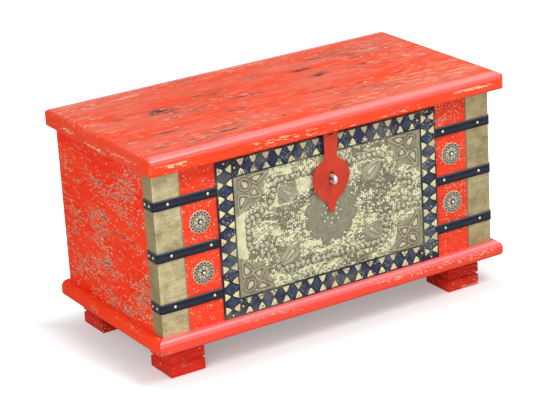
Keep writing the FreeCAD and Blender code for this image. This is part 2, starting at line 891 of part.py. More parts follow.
def staple():
    """A wire bent to a U, with its legs driven into the front panel."""
    bend_y = body_front - staple_reach + staple_half_height + staple_wire
    end_y = inner_front - staple_wire - fit_clearance
    bend_centre = Vector(0, bend_y, staple_level)
    bend = Part.makeTorus(staple_half_height, staple_wire, bend_centre, Vector(1, 0, 0))
    reach = staple_half_height + staple_wire + overrun
    front_half = box(-reach, reach, bend_y - reach, bend_y, staple_level - reach, staple_level + reach)
    legs = [Part.makeCylinder(staple_wire, end_y - bend_y, Vector(0, bend_y, level), Vector(0, 1, 0))
            for level in staple_leg_places()]
    return bend.common(front_half).fuse(legs)


def staple_plate():
    """Small plate with round corners between the staple and the medallion."""
    half_x = staple_plate_width / 2
    half_z = staple_plate_height / 2
    corners = [
        (-half_x, staple_level - half_z),
        (half_x, staple_level - half_z),
        (half_x, staple_level + half_z),
        (-half_x, staple_level + half_z),
    ]
    face = rounded_face(corners, (staple_plate_round,) * 4, facing_front(staple_plate_back))
    return face.extrude(Vector(0, -staple_plate_thickness, 0)).cut(staple_holes())


# Hasp

hasp_knuckle = hasp_pin_radius + fit_clearance + hasp_sheet
disc_level = hasp_axis.z - hasp_disc_drop
neck_level = disc_level + math.sqrt(hasp_disc_radius ** 2 - hasp_neck_half ** 2)


def hasp_outline():
    """Front view of the hasp: a straight arm, a round disc and a pointed tip, mirrored about the middle."""
    radius = hasp_disc_radius
    flare = hasp_neck_half + (radius - hasp_neck_half) / 5
    flare_level = disc_level + math.sqrt(radius ** 2 - flare ** 2)
    flare_top = neck_level + (neck_level - flare_level) * 3
    blend = (hasp_neck_half + (flare - hasp_neck_half) / 4, (neck_level + flare_top) / 2 - hasp_sheet)
    low_angle = math.radians(40)
    low_x = radius * math.cos(low_angle)
    low_z = disc_level - radius * math.sin(low_angle)
    shoulder = (hasp_shoulder_half, disc_level - hasp_shoulder_drop)
    tip_level = hasp_axis.z - hasp_tip_drop
    waist = ((hasp_shoulder_half + hasp_tip_half) / 2, shoulder[1] - hasp_sheet * 4)
    waist_middle = ((shoulder[0] + waist[0]) / 2 - hasp_sheet / 4, (shoulder[1] + waist[1]) / 2)
    right = [
        ("line", (hasp_top_half, hasp_axis.z), (hasp_neck_half, flare_top)),
        ("arc", (hasp_neck_half, flare_top), blend, (flare, flare_level)),
        ("arc", (flare, flare_level), (radius * math.cos(math.radians(30)), disc_level + radius / 2),
         (radius, disc_level)),
        ("arc", (radius, disc_level), (low_x, low_z), shoulder),
        ("arc", shoulder, waist_middle, waist),
        ("line", waist, (hasp_tip_half, tip_level + hasp_tip_half / 2)),
    ]
    return right, tip_level


def hasp_blank():
    """The hasp's front view as a face."""
    right, tip_level = hasp_outline()
    place = facing_front(0)
    edges = []
    for piece in right:
        for sign in (1, -1):
            points = [place((sign * x, z)) for x, z in piece[1:]]
            edge = Part.Arc(*points) if piece[0] == "arc" else Part.LineSegment(*points)
            edges.append(edge.toShape())
    end = right[-1][2]
    edges.append(Part.Arc(place(end), place((0, tip_level)), place((-end[0], end[1]))).toShape())
    start = right[0][1]
    edges.append(Part.LineSegment(place(start), place((-start[0], start[1]))).toShape())
    return Part.Face(Part.Wire(Part.__sortEdges__(edges)))


def hasp_side_band():
    """Side view of the hasp's sheet: down in front of its knuckle, in towards the panel, then down to the tip."""
    back = [
        (hasp_axis.y - hasp_pin_radius - fit_clearance, hasp_axis.z),
        (hasp_axis.y - hasp_pin_radius - fit_clearance, hasp_axis.z - 2 * hasp_knuckle),
        (body_front - hasp_neck_standoff, neck_level),
        (body_front - hasp_disc_standoff, disc_level),
        (body_front - hasp_tip_standoff, hasp_axis.z - hasp_tip_drop - overrun),
    ]
    front = [(y - hasp_sheet, z) for y, z in reversed(back)]
    bends = (0, hasp_bend, hasp_bend, hasp_bend, 0)
    return rounded_face(back + front, bends + bends, facing_side(-hasp_disc_radius - overrun))


def hasp():
    """The bent hasp with two knuckles, the gap between them and the slot for the staple."""
    deep = hasp_axis_standoff + hasp_knuckle + overrun
    blank = hasp_blank().extrude(Vector(0, deep, 0))
    blank.translate(Vector(0, body_front - deep, 0))
    sheet = blank.common(hasp_side_band().extrude(Vector(2 * (hasp_disc_radius + overrun), 0, 0)))
    knuckle = Part.makeCylinder(hasp_knuckle, 2 * hasp_top_half,
                                Vector(-hasp_top_half, hasp_axis.y, hasp_axis.z), Vector(1, 0, 0))
    low = hasp_axis.z - hasp_knuckle - hasp_knuckle_gap - hasp_sheet / 2
    gap = box(-hasp_gap_half, hasp_gap_half, body_front - deep, body_front, low, body_top)
    pin_hole = Part.makeCylinder(hasp_pin_radius + fit_clearance, 2 * hasp_top_half + 2 * overrun,
                                 Vector(-hasp_top_half - overrun, hasp_axis.y, hasp_axis.z), Vector(1, 0, 0))
    return sheet.fuse(knuckle).cut([gap, pin_hole, hasp_slot()])


def hasp_slot():
    """The slot that the staple comes through, round at both ends."""
    low = staple_level - staple_half_height - staple_wire - hasp_slot_below
    half = hasp_slot_width / 2
    high = low + hasp_slot_height
    corners = [(-half, low), (half, low), (half, high), (-half, high)]
    deep = hasp_axis_standoff + hasp_knuckle + overrun
    end_round = half - hasp_sheet / 10
    face = rounded_face(corners, (end_round,) * 4, facing_front(body_front - deep))
    return face.extrude(Vector(0, deep, 0))


def hasp_leaf():
    """The leaf under the lid: a plate over the front panel's edge, and one knuckle between the hasp's two."""
    half = hasp_gap_half - hasp_knuckle_gap
    front = hasp_axis.y
    back = front + hasp_leaf_length
    plate_front = front + hasp_knuckle + hasp_knuckle_gap
    low = body_top - hasp_leaf_thickness
    plate = box(-hasp_top_half, hasp_top_half, plate_front, back, low, body_top)
    tongue = box(-half, half, front, plate_front, low, body_top)
    knuckle = Part.makeCylinder(hasp_knuckle, 2 * half, Vector(-half, front, hasp_axis.z), Vector(1, 0, 0))
    pin_hole = Part.makeCylinder(hasp_pin_radius, 2 * hasp_top_half,
                                 Vector(-hasp_top_half, front, hasp_axis.z), Vector(1, 0, 0))
    return plate.fuse([tongue, knuckle]).cut([pin_hole] + hasp_screws(fit_clearance))


def hasp_pin():
    """The pin of the hasp, tight in the leaf's knuckle."""
    return Part.makeCylinder(hasp_pin_radius, 2 * hasp_top_half,
                             Vector(-hasp_top_half, hasp_axis.y, hasp_axis.z), Vector(1, 0, 0))


# Screws and butt hinges

def countersunk_screw(clearance):
    """A screw that points up +Z from the face of its head, or the hole for it."""
    head = Part.makeCone(screw_head_radius + clearance, screw_radius + clearance, screw_head_height)
    shank = Part.makeCylinder(screw_radius + clearance, screw_length + clearance)
    return head.fuse(shank)


def hasp_screws(clearance):
    """Screws up through the hasp's leaf into the lid."""
    screw = countersunk_screw(clearance)
    places = [Vector(0, hasp_axis.y + back, body_top - hasp_leaf_thickness) for back in hasp_screw_places]
    return [aim(screw, place, Vector(0, 0, 1)) for place in places]


hinge_axis_y = body_back + hinge_back_gap + hinge_knuckle


def hinge_mortise(side, level):
    """Pocket for one leaf: level 1 is in the lid, level -1 in the back panel."""
    start = side * hinge_place - hinge_length / 2
    depth = hinge_leaf + mortise_gap
    low = body_top if level > 0 else body_top - depth
    return box(start, start + hinge_length, body_back - hinge_leaf_depth, body_back + overrun,
               low, low + depth)


def hinge_notch(side):
    """Notch in the lid's back edge that clears the knuckles."""
    half = hinge_length / 2 + hinge_notch_gap
    middle = side * hinge_place
    top = body_top + hinge_knuckle + hinge_notch_gap
    return box(middle - half, middle + half, body_back - hinge_back_gap, lid_depth / 2 + overrun,
               body_top - overrun, top)


def hinge_screws(side, level, clearance):
    """Two countersunk screws through a leaf, up into the lid or down into the back panel."""
    screw = countersunk_screw(clearance)
    middle = side * hinge_place
    reach = hinge_length / 2 - hinge_screw_inset
    depth = body_back - hinge_leaf_depth / 2
    places = [Vector(middle + offset, depth, body_top) for offset in (-reach, reach)]
    return [aim(screw, place, Vector(0, 0, level)) for place in places]


def hinge_leaf_piece(side, level):
    """One leaf with its knuckles: the lid's leaf has the even ones, the chest's leaf the odd ones."""
    start = side * hinge_place - hinge_length / 2
    low = body_top if level > 0 else body_top - hinge_leaf
    plate = box(start, start + hinge_length, body_back - hinge_leaf_depth, hinge_axis_y,
                low, low + hinge_leaf)
    pitch = hinge_length / hinge_knuckles
    knuckles = []
    gaps = []
    reach = hinge_knuckle + hinge_knuckle_gap
    for index in range(hinge_knuckles):
        own = (index % 2 == 1) == (level > 0)
        inset = hinge_knuckle_gap / 2 if own else -hinge_knuckle_gap / 2
        knuckle_start = start + index * pitch + inset
        length = pitch - 2 * inset
        if own:
            place = Vector(knuckle_start, hinge_axis_y, body_top)
            knuckles.append(Part.makeCylinder(hinge_knuckle, length, place, Vector(1, 0, 0)))
        else:
            gaps.append(box(knuckle_start, knuckle_start + length, hinge_axis_y - reach, hinge_axis_y + reach,
                            body_top - reach, body_top + reach))
    bore = Part.makeCylinder(hinge_pin + (fit_clearance if level > 0 else 0), hinge_length + 2 * overrun,
                             Vector(start - overrun, hinge_axis_y, body_top), Vector(1, 0, 0))
    return plate.cut(gaps).fuse(knuckles).cut([bore] + hinge_screws(side, level, fit_clearance))


def hinge_pin_piece(side):
    """The pin of one hinge, tight in the chest's knuckles and free in the lid's."""
    start = side * hinge_place - hinge_length / 2
    return Part.makeCylinder(hinge_pin, hinge_length, Vector(start, hinge_axis_y, body_top), Vector(1, 0, 0))


# Every sub-part, by name

def build():
    """Builds and writes every sub-part."""
    save("front_panel", front_panel())
    save("back_panel", back_panel())
    save("bottom_board", bottom_board())
    save("plinth_front", plinth_front())
    save("plinth_back", plinth_back())
    save("foot_dowels", group(foot_dowels(0)))
    save("corner_dowels", group(corner_dowels(-1, 0) + corner_dowels(1, 0)))
    for name, centre in foot_centres().items():
        save(name, foot(centre))
    for side, side_name in ((-1, "left"), (1, "right")):
        save("side_panel_" + side_name, side_panel(side))
        save("plinth_" + side_name, plinth_side(side))
        save("corner_brass_" + side_name, corner_sheet(side))
        for level, row in zip(strap_levels(), ("lower", "middle", "upper")):
            save("strap_" + side_name + "_" + row, strap(side, level))
        save("hinge_leaf_chest_" + side_name, hinge_leaf_piece(side, -1))
        save("hinge_leaf_lid_" + side_name, hinge_leaf_piece(side, 1))
        save("hinge_pin_" + side_name, hinge_pin_piece(side))
        save("lid_cleat_" + side_name, lid_cleat(side))
    save("strap_nails", strap_nails())
    blank = rosette()
    for name, place in rosette_places().items():
        save(name, aim(blank, place, Vector(0, -1, 0)))
    save("rosette_nails", rosette_nails())
    for name in frame_strips():
        save(name, frame_strip_piece(name))
    save("mosaic_tiles", mosaic_tiles())
    save("frame_nails", frame_nails())
    save("embossed_panel", embossed_panel())
    save("corner_ornaments", corner_ornaments())
    save("medallion", medallion())
    save("staple", staple())
    save("staple_plate", staple_plate())
    save("lid_board", lid_board())
    save("hasp", hasp())
    save("hasp_leaf", hasp_leaf())
    save("hasp_pin", hasp_pin())
    save("hasp_leaf_screws", group(hasp_screws(0)))
    save("hinge_screws_chest", group(hinge_screws(-1, -1, 0) + hinge_screws(1, -1, 0)))
    save("hinge_screws_lid", group(hinge_screws(-1, 1, 0) + hinge_screws(1, 1, 0)))


build()
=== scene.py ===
# %% [markdown]
# # A painted storage chest with brass, iron and mosaic
# The construction is already there: boards, hinges, hasp, straps, rosettes and mosaic strips come from the
# frame. This lesson gives every surface its finish, and makes the pieces whose shape is too fine for
# construction work: pressed brass sheets, inlaid tiles and pierced rosettes. Everything is in metres. The
# front of the chest faces -Y, and the floor is at z = 0.

# %% Load the frame
import math
import random
from functools import reduce
from types import SimpleNamespace

import bmesh
import bpy
import numpy as np
from mathutils import Matrix, Quaternion, Vector


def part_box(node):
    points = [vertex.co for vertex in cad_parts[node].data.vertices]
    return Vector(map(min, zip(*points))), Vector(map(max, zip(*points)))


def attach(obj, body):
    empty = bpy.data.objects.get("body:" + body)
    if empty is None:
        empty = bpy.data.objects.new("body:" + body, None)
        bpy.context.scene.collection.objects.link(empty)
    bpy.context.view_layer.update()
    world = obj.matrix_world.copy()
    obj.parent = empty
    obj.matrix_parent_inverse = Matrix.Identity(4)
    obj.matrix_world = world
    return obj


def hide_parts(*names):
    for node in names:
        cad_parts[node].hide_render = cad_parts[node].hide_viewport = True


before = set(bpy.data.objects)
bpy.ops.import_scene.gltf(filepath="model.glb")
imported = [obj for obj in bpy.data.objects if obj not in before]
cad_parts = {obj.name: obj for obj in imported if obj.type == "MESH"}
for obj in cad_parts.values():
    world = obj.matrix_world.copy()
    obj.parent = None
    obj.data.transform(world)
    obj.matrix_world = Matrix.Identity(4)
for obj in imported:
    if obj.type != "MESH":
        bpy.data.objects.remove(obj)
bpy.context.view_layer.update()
MM = 0.001
print("pieces of the frame:", len(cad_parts))

# %% [markdown]
# ## The view
# The chest is seen from its front left and from a little above, through a long lens, so its edges hardly
# converge. A camera is easiest to place from what it looks at: a direction, a distance and a small roll.

# %% Camera
aim_point = Vector((-0.0292, -0.0222, 0.2274))
view_azimuth = math.radians(31.274)
view_drop = math.radians(20.272)
view_roll = math.radians(-3.391)
view_distance = 4.2804

toward = Vector((
    math.sin(view_azimuth) * math.cos(view_drop),
    math.cos(view_azimuth) * math.cos(view_drop),
    -math.sin(view_drop),
))
camera_data = bpy.data.cameras.new("camera")
camera_data.sensor_width = 36
camera_data.lens = 142.37
camera_data.clip_end = 50
camera = bpy.data.objects.new("camera", camera_data)
camera.location = aim_point - toward * view_distance
turn = toward.to_track_quat("-Z", "Y") @ Quaternion((0, 0, 1), view_roll)
camera.rotation_mode = "QUATERNION"
camera.rotation_quaternion = turn
bpy.context.scene.collection.objects.link(camera)
bpy.context.scene.camera = camera
print("camera at", [round(x, 3) for x in camera.location])

# %% [markdown]
# ## Helpers: adding nodes
# A finish is a small network of nodes. One helper adds a node, sets it and links its inputs, and short ones
# stand for the nodes that every finish needs, so that a finish reads from top to bottom, from the
# coordinates to the colour. Colours are written as a screen shows them, and the shader wants them linear.

# %% Nodes
def colour(red, green, blue):
    """A colour as a screen shows it, from 0 to 255, made linear for the shader."""
    def linear(value):
        value /= 255
        return value / 12.92 if value <= 0.04045 else ((value + 0.055) / 1.055) ** 2.4
    return (linear(red), linear(green), linear(blue), 1)


def feed(tree, made, values):
    """Links each input of a node that gets a socket, and sets any other to a constant."""
    for name, value in values.items():
        if isinstance(value, bpy.types.NodeSocket):
            tree.links.new(value, made.inputs[name])
        else:
            made.inputs[name].default_value = value


def node(tree, kind, inputs=None, **settings):
    """Adds one shader node with its settings, and feeds its inputs."""
    made = tree.nodes.new("ShaderNode" + kind)
    for name, value in settings.items():
        setattr(made, name, value)
    feed(tree, made, inputs or {})
    return made


def axes(tree, place):
    """The coordinates X, Y and Z of each place."""
    return node(tree, "SeparateXYZ", {0: place}).outputs


def stretched(tree, vector, factors):
    """Coordinates drawn out along a direction, whose factor is below 1."""
    return node(tree, "VectorMath", {0: vector, 1: factors}, operation="MULTIPLY").outputs[0]


def noise(tree, vector, scale, detail=2.0, rough=0.5):
    """Soft random values from 0 to 1."""
    inputs = {"Vector": vector, "Scale": scale, "Detail": detail, "Roughness": rough}
    return node(tree, "TexNoise", inputs).outputs["Fac"]


def attribute(tree, name):
    """A value that the mesh itself carries."""
    return node(tree, "Attribute", attribute_name=name).outputs["Fac"]


print("mid grey, made linear:", round(colour(128, 128, 128)[0], 3))

# %% [markdown]
# ## Helpers: masks and sums
# Most of a finish is about where something shows. Such a mask is a value that is 1 there and 0 elsewhere.
# Masks are multiplied to be in all of several places, and the greatest is taken to be in any of them.

# %% Masks
def rise(tree, value, low, high):
    """0 below low, 1 above high and a smooth step between them. It falls where low is the greater one."""
    inputs = {"Value": value, "From Min": low, "From Max": high}
    return node(tree, "MapRange", inputs, interpolation_type="SMOOTHSTEP").outputs["Result"]


def ranged(tree, value, at_zero, at_one):
    """A mask turned into a value that goes evenly from one number to another."""
    return node(tree, "MapRange", {"Value": value, "To Min": at_zero, "To Max": at_one}).outputs["Result"]


def math_of(tree, operation, first, second=0.0):
    """One sum of two values."""
    return node(tree, "Math", {0: first, 1: second}, operation=operation).outputs[0]


def plus(tree, *values):
    """All values added up."""
    return reduce(lambda first, second: math_of(tree, "ADD", first, second), values)


def minus(tree, first, second):
    """The first value less the second."""
    return math_of(tree, "SUBTRACT", first, second)


def times(tree, *values):
    """All values multiplied, which for masks is where all of them are."""
    return reduce(lambda first, second: math_of(tree, "MULTIPLY", first, second), values)


def most(tree, *values):
    """The greatest value, which for masks is where any of them is."""
    return reduce(lambda first, second: math_of(tree, "MAXIMUM", first, second), values)


def unsigned(tree, value):
    """A value without its sign, so that a mask on one side is on both."""
    return math_of(tree, "ABSOLUTE", value)


# %% [markdown]
# ## Helpers: colours and normals
# A finish is laid on in layers, as the maker did: a ground first, then one colour over another where a mask
# says so. A bump turns a height into a normal that catches the light, and a bevel node softens edges
# without any new faces.

# %% Layers
def blend_colours(tree, share, first, second):
    """The first colour where share is 0, and the second where it is 1."""
    return node(tree, "Mix", {0: share, 6: first, 7: second}, data_type="RGBA").outputs[2]


def over(tree, mask, share, under, top):
    """Lays a colour over another one, where a mask is, as thick as its share."""
    return blend_colours(tree, times(tree, mask, share), under, top)


def relief_normal(tree, height, depth, normal=None):
    """A bumped normal from a height between 0 and 1 and its real depth in metres."""
    inputs = {"Height": height, "Distance": depth, "Strength": 1.0}
    if normal is not None:
        inputs["Normal"] = normal
    return node(tree, "Bump", inputs).outputs["Normal"]


def soft_edges(tree, radius, samples=4):
    """A normal that turns softly round every edge, as thick paint does."""
    return node(tree, "Bevel", {"Radius": radius}, samples=samples).outputs["Normal"]


# %% [markdown]
# ## Helpers for whole finishes
# Every finish starts in the same way, with one Principled shader and the object's own coordinates, so that
# patterns keep their real size and stay on a piece that moves. The finish then goes on all slots of its
# pieces.

# %% Whole finishes
def new_finish(name):
    """A material with its output and a Principled shader, and the object's own coordinates."""
    material = bpy.data.materials.new(name)
    material.use_nodes = True
    tree = material.node_tree
    tree.nodes.clear()
    shader = node(tree, "BsdfPrincipled")
    node(tree, "OutputMaterial", {"Surface": shader.outputs[0]})
    return material, tree, shader, node(tree, "TexCoord").outputs["Object"]


def into(tree, shader, **values):
    """Feeds inputs of the shader by name, with _ for a space."""
    feed(tree, shader, {name.replace("_", " "): value for name, value in values.items()})


def paint_piece(material, *names):
    """Gives pieces of the frame a finish."""
    for name in names:
        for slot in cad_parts[name].material_slots:
            slot.material = material
    print(material.name, "on", ", ".join(names))


# %% [markdown]
# ## Effects that several finishes share
# Paint that flakes off in chips, specks where it was flicked off, and edges rubbed bare show on wood and on
# metal alike. Each is a node group: it is built once, and every finish places it with its own values. The
# chips are the peaks of a fine noise. A slower noise marks patches, where more of these peaks are lifted
# over the threshold.

# %% Chips
def new_group(name, vectors, numbers):
    """An empty node group with named inputs and one mask that it puts out."""
    group = bpy.data.node_groups.new(name, "ShaderNodeTree")
    for kind, labels in (("Vector", vectors), ("Float", numbers)):
        for label in labels:
            group.interface.new_socket(name=label, in_out="INPUT", socket_type="NodeSocket" + kind)
    group.interface.new_socket(name="Mask", in_out="OUTPUT", socket_type="NodeSocketFloat")
    given = group.nodes.new("NodeGroupInput").outputs
    return group, given, group.nodes.new("NodeGroupOutput").inputs["Mask"]


def patches(group, given, detail, rough, softness):
    """1 inside the patches and 0 outside them."""
    along = stretched(group, given["Vector"], given["Patch stretch"])
    slow = noise(group, along, given["Patch scale"], detail, rough)
    return rise(group, slow, given["Patch level"], plus(group, given["Patch level"], softness))


def make_chips_group():
    """Chips of a given size, few everywhere and more of them inside patches."""
    group, given, mask = new_group(
        "chips", ("Vector", "Stretch", "Patch stretch"),
        ("Chip scale", "Threshold", "Patch scale", "Patch level", "Patch gain"))
    fine = noise(group, stretched(group, given["Vector"], given["Stretch"]), given["Chip scale"], 2.0, 0.55)
    inside = patches(group, given, 3.0, 0.6, 0.09)
    total = plus(group, fine, times(group, inside, given["Patch gain"]))
    found = rise(group, total, given["Threshold"], plus(group, given["Threshold"], 0.03))
    group.links.new(found, mask)
    return group


chips_group = make_chips_group()


def chips(tree, place, stretch, chip, threshold, patch_stretch=(1, 1, 1), patch=30.0, level=0.5, gain=0.12):
    """Places the chips in a finish."""
    values = {"Vector": place, "Stretch": stretch, "Chip scale": chip, "Threshold": threshold,
              "Patch stretch": patch_stretch, "Patch scale": patch, "Patch level": level, "Patch gain": gain}
    return node(tree, "Group", values, node_tree=chips_group).outputs["Mask"]


print("chips:", len(chips_group.nodes), "nodes")

# %% [markdown]
# ## Specks
# Noise gives chips of every shape, but specks have to stay apart. Voronoi cells do that: the distance to
# the middle of a cell gives one speck, and the cell's own random colour says whether it is shown. Inside
# patches, more are.

# %% Specks
def make_specks_group():
    """Separate specks, one to a cell, in few cells everywhere and in more of them inside patches."""
    group, given, mask = new_group(
        "specks", ("Vector", "Cells", "Patch stretch"),
        ("Size", "Share", "Patch share", "Patch scale", "Patch level"))
    scaled = stretched(group, given["Vector"], given["Cells"])
    wobble = node(group, "TexNoise", {"Vector": scaled, "Scale": 1.4, "Detail": 1.0}).outputs["Color"]
    moved = node(group, "VectorMath", {0: wobble, 1: (0.8, 0.8, 0.8), 2: scaled}, operation="MULTIPLY_ADD")
    cell = node(group, "TexVoronoi", {"Vector": moved.outputs[0], "Scale": 1.0}, feature="F1").outputs
    own = node(group, "SeparateColor", {0: cell["Color"]}).outputs[0]
    inside = patches(group, given, 4.0, 0.65, 0.08)
    shares = {0: inside, 2: given["Share"], 3: given["Patch share"]}
    chosen = math_of(group, "LESS_THAN", own, node(group, "Mix", shares, data_type="FLOAT").outputs[0])
    spot = rise(group, cell["Distance"], given["Size"], minus(group, given["Size"], 0.12))
    group.links.new(times(group, chosen, spot), mask)
    return group


specks_group = make_specks_group()


def specks(tree, place, cells, size, share, patch_share, patch_stretch, patch, level):
    """Places the specks in a finish."""
    values = {"Vector": place, "Cells": cells, "Size": size, "Share": share, "Patch share": patch_share,
              "Patch stretch": patch_stretch, "Patch scale": patch, "Patch level": level}
    return node(tree, "Group", values, node_tree=specks_group).outputs["Mask"]


print("specks:", len(specks_group.nodes), "nodes")

# %% [markdown]
# ## Edge wear
# Edges lose their paint first. The group asks how far a rounded version of the normal leans away from the
# real one, which happens only near an edge, and breaks the wear up with noise.

# %% Edge wear
def make_edge_group():
    """Broken wear along edges, as wide as a radius."""
    group, given, mask = new_group("edge_wear", ("Vector",), ("Radius", "Breakup scale", "Threshold"))
    rounded = soft_edges(group, given["Radius"], 6)
    real = node(group, "NewGeometry").outputs["Normal"]
    agree = node(group, "VectorMath", {0: rounded, 1: real}, operation="DOT_PRODUCT").outputs["Value"]
    lean = math_of(group, "MINIMUM", times(group, minus(group, 1.0, agree), 6.0), 1.0)
    broken = noise(group, given["Vector"], given["Breakup scale"], 4.0, 0.65)
    found = rise(group, times(group, lean, broken), times(group, given["Threshold"], 0.8), given["Threshold"])
    group.links.new(found, mask)
    return group


edge_group = make_edge_group()


def edge_wear(tree, place, radius, breakup, threshold):
    """Places the edge wear in a finish."""
    values = {"Vector": place, "Radius": radius, "Breakup scale": breakup, "Threshold": threshold}
    return node(tree, "Group", values, node_tree=edge_group).outputs["Mask"]


print("edge wear:", len(edge_group.nodes), "nodes")

# %% [markdown]
# ## Red paint on wood: the handled edges
# The boards are painted a hot red that was rubbed through on purpose. The front of lid and plinth is
# scuffed cream in a band, and hands have polished the rounded edge above it, so a clear coat sits only
# there. That edge is also painted pink as a highlight. These places are masks, worked out from the boxes of
# the boards.

# %% Handled edges
GRAIN_X = (0.16, 1.0, 1.0)
GRAIN_Y = (1.0, 0.16, 1.0)
GRAIN_LID = (0.12, 0.5, 1.0)
NOWHERE = (9.0, 10.0)
BAND_SOFTNESS = 5 * MM
lid_low, lid_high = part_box("lid_board")
plinth_low, plinth_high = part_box("plinth_front")
LID_EDGE = dict(
    front=(lid_high.y - 22 * MM, lid_high.y - 15 * MM),
    ends=(lid_high.x - 8 * MM, lid_high.x - 2 * MM),
    heights=(lid_low.z + 1 * MM, lid_high.z - 14 * MM),
    top=(lid_high.z - 15 * MM, lid_high.z - 9 * MM),
)
PLINTH_EDGE = dict(
    front=(0.0, 1 * MM),
    ends=NOWHERE,
    heights=(plinth_low.z + 4 * MM, plinth_high.z - 4 * MM),
    top=(plinth_high.z - 14 * MM, plinth_high.z - 8 * MM),
)


def edge_masks(tree, place, front, ends, heights, top):
    """Masks of the end faces, of all outer faces, of the scuffed band on them, and of the rounded edge."""
    apart = axes(tree, place)
    at_ends = rise(tree, unsigned(tree, apart["X"]), *ends)
    in_front = times(tree, rise(tree, unsigned(tree, apart["Y"]), *front), minus(tree, 1.0, at_ends))
    outside = most(tree, in_front, at_ends)
    low, high = heights
    above = rise(tree, apart["Z"], low, low + BAND_SOFTNESS)
    below = rise(tree, apart["Z"], high, high - BAND_SOFTNESS)
    rounded = times(tree, in_front, rise(tree, apart["Z"], *top))
    return SimpleNamespace(at_ends=at_ends, outside=outside, rounded=rounded,
                           band=times(tree, outside, above, below))


print("lid edge, mm:", {name: [round(v / MM) for v in span] for name, span in LID_EDGE.items()})

# %% [markdown]
# ## Red paint on wood: the large marks
# Noise gives wear that looks right, but not where the real chest has it. The marks that catch the eye are
# therefore listed one by one: a middle, a reach along each axis and a strength, in millimetres. Worn marks
# bring more dark dashes, deep ones bare the old wood, pale ones bring more cream specks, and scuffs rub the
# front edge.

# %% Large marks
LID_TOP = lid_high.z / MM
SIDE_FACE = -381
MARK_CORE = 0.3


def on_lid(thick, marks):
    """Marks on top of the lid, each given as x, y, reach along x, reach along y and strength."""
    return [((x, y, LID_TOP), (wide, deep, thick), strength) for x, y, wide, deep, strength in marks]


def shaded_side(thick, marks):
    """Marks on the left side, each given as y, z, reach along y, reach along z and strength."""
    return [((SIDE_FACE, y, z), (thick, deep, high), strength) for y, z, deep, high, strength in marks]


LID_WORN = on_lid(20, [
    (-246, 28, 42, 26, 1.0), (-289, -85, 62, 10, 1.0), (-121, -52, 44, 26, 0.8), (108, 80, 44, 16, 1.0),
    (125, 30, 46, 22, 1.0), (-189, -152, 50, 10, 0.9), (-105, 64, 70, 30, 0.75), (-50, 8, 54, 12, 0.85),
    (-316, 51, 50, 14, 0.7), (20, 110, 56, 16, 0.65), (215, 20, 60, 16, 0.8), (60, -60, 70, 14, 0.7),
])
LID_DEEP = on_lid(9, [
    (-291, -85, 30, 4, 1.0), (-189, -152, 24, 4, 0.9), (-45, 6, 26, 4, 0.8), (119, 24, 14, 9, 1.0),
    (107, 77, 26, 7, 0.9), (-135, 71, 22, 5, 0.7), (-244, 35, 26, 9, 1.0), (-321, 39, 24, 4, 0.7),
    (-52, -82, 20, 4, 0.7), (-73, -145, 6, 5, 0.9), (228, 29, 14, 7, 0.9), (255, -65, 34, 4, 0.8),
    (150, -68, 16, 4, 0.8), (275, 19, 24, 4, 0.6), (243, 101, 22, 4, 0.7), (284, -142, 18, 4, 0.6),
    (-343, -154, 26, 4, 0.7),
])
LID_PALE = on_lid(20, [
    (-290, 176, 190, 52, 1.0), (-60, 186, 300, 40, 0.9), (300, -125, 190, 90, 1.0), (115, -165, 150, 34, 0.9),
    (300, 60, 120, 130, 0.7), (-200, -150, 120, 20, 0.4),
]) + [((-374, 60, 452), (40, 150, 20), 1.0)]
LID_SCUFFS = [
    ((-352, -206, 438), (64, 30, 10), 0.82),
    ((-150, -206, 438), (70, 30, 7), 0.6),
    ((-25, -206, 440), (64, 30, 8), 0.6),
    ((318, -206, 438), (80, 30, 7), 1.0),
    ((-400, 112, 434), (30, 56, 9), 0.66),
    ((-400, 0, 427), (30, 70, 10), 0.7),
]
PLINTH_WORN = [((-398, 66, 78), (20, 26, 10), 1.1), ((-396, -203, 66), (16, 16, 8), 1.5)]
CORNER_DEEP = [((-397, -204, 69), (20, 20, 14), 1.0)]
CORNER_PALE = [((-397, -203, 67), (14, 14, 9), 1.5), ((396, -203, 67), (14, 14, 8), 1.0)]
PLINTH_PALE = CORNER_PALE + [
    ((-398, 66, 78), (20, 26, 12), 0.8),
    ((-396, -84, 90), (20, 60, 6), 0.9),
    ((-398, -170, 67), (20, 50, 6), 0.8),
]
SIDE_DEEP = shaded_side(9, [(-57, 259, 62, 2.6, 1.0), (152, 212, 22, 3, 0.9), (5, 411, 34, 4, 0.5)])
SIDE_WORN = shaded_side(20, [
    (-63, 261, 70, 5, 1.0), (150, 212, 28, 6, 0.9), (5, 411, 50, 12, 0.7), (122, 322, 30, 10, 0.5),
    (-40, 305, 40, 16, 0.5),
])


def near_marks(tree, place, marks):
    """Each mark's strength in its middle, and 0 beyond its reach."""
    total = 0.0
    for middle, reach, strength in marks:
        offset = {0: place, 1: [value * MM for value in middle]}
        away = node(tree, "VectorMath", offset, operation="SUBTRACT").outputs[0]
        shares = stretched(tree, away, [1 / (value * MM) for value in reach])
        distance = node(tree, "VectorMath", {0: shares}, operation="LENGTH").outputs["Value"]
        total = most(tree, total, times(tree, rise(tree, distance, 1.0, MARK_CORE), strength))
    return total


print("marks on the lid:", len(LID_WORN + LID_DEEP + LID_PALE + LID_SCUFFS))

# %% [markdown]
# ## Red paint on wood: dashes, cracks, specks and scuffs
# Dashes and a few long cracks of dark weathered wood follow the grain, and the paint around them went grey.
# Small cream specks of the undercoat show as well, each with a darker rim where the paint broke, and they
# crowd together in patches. Each function below gives masks and leaves the colours to the finish. They all
# read one set of values, the look, because the boards differ only in the direction of their grain and in
# how much of each wear they have.

# %% Kinds of wear
SPECK_RIM_WIDTH = 0.14


def drawn(grain, power):
    """A grain drawn out more, or less where the power is below 1."""
    return tuple(value ** power for value in grain)


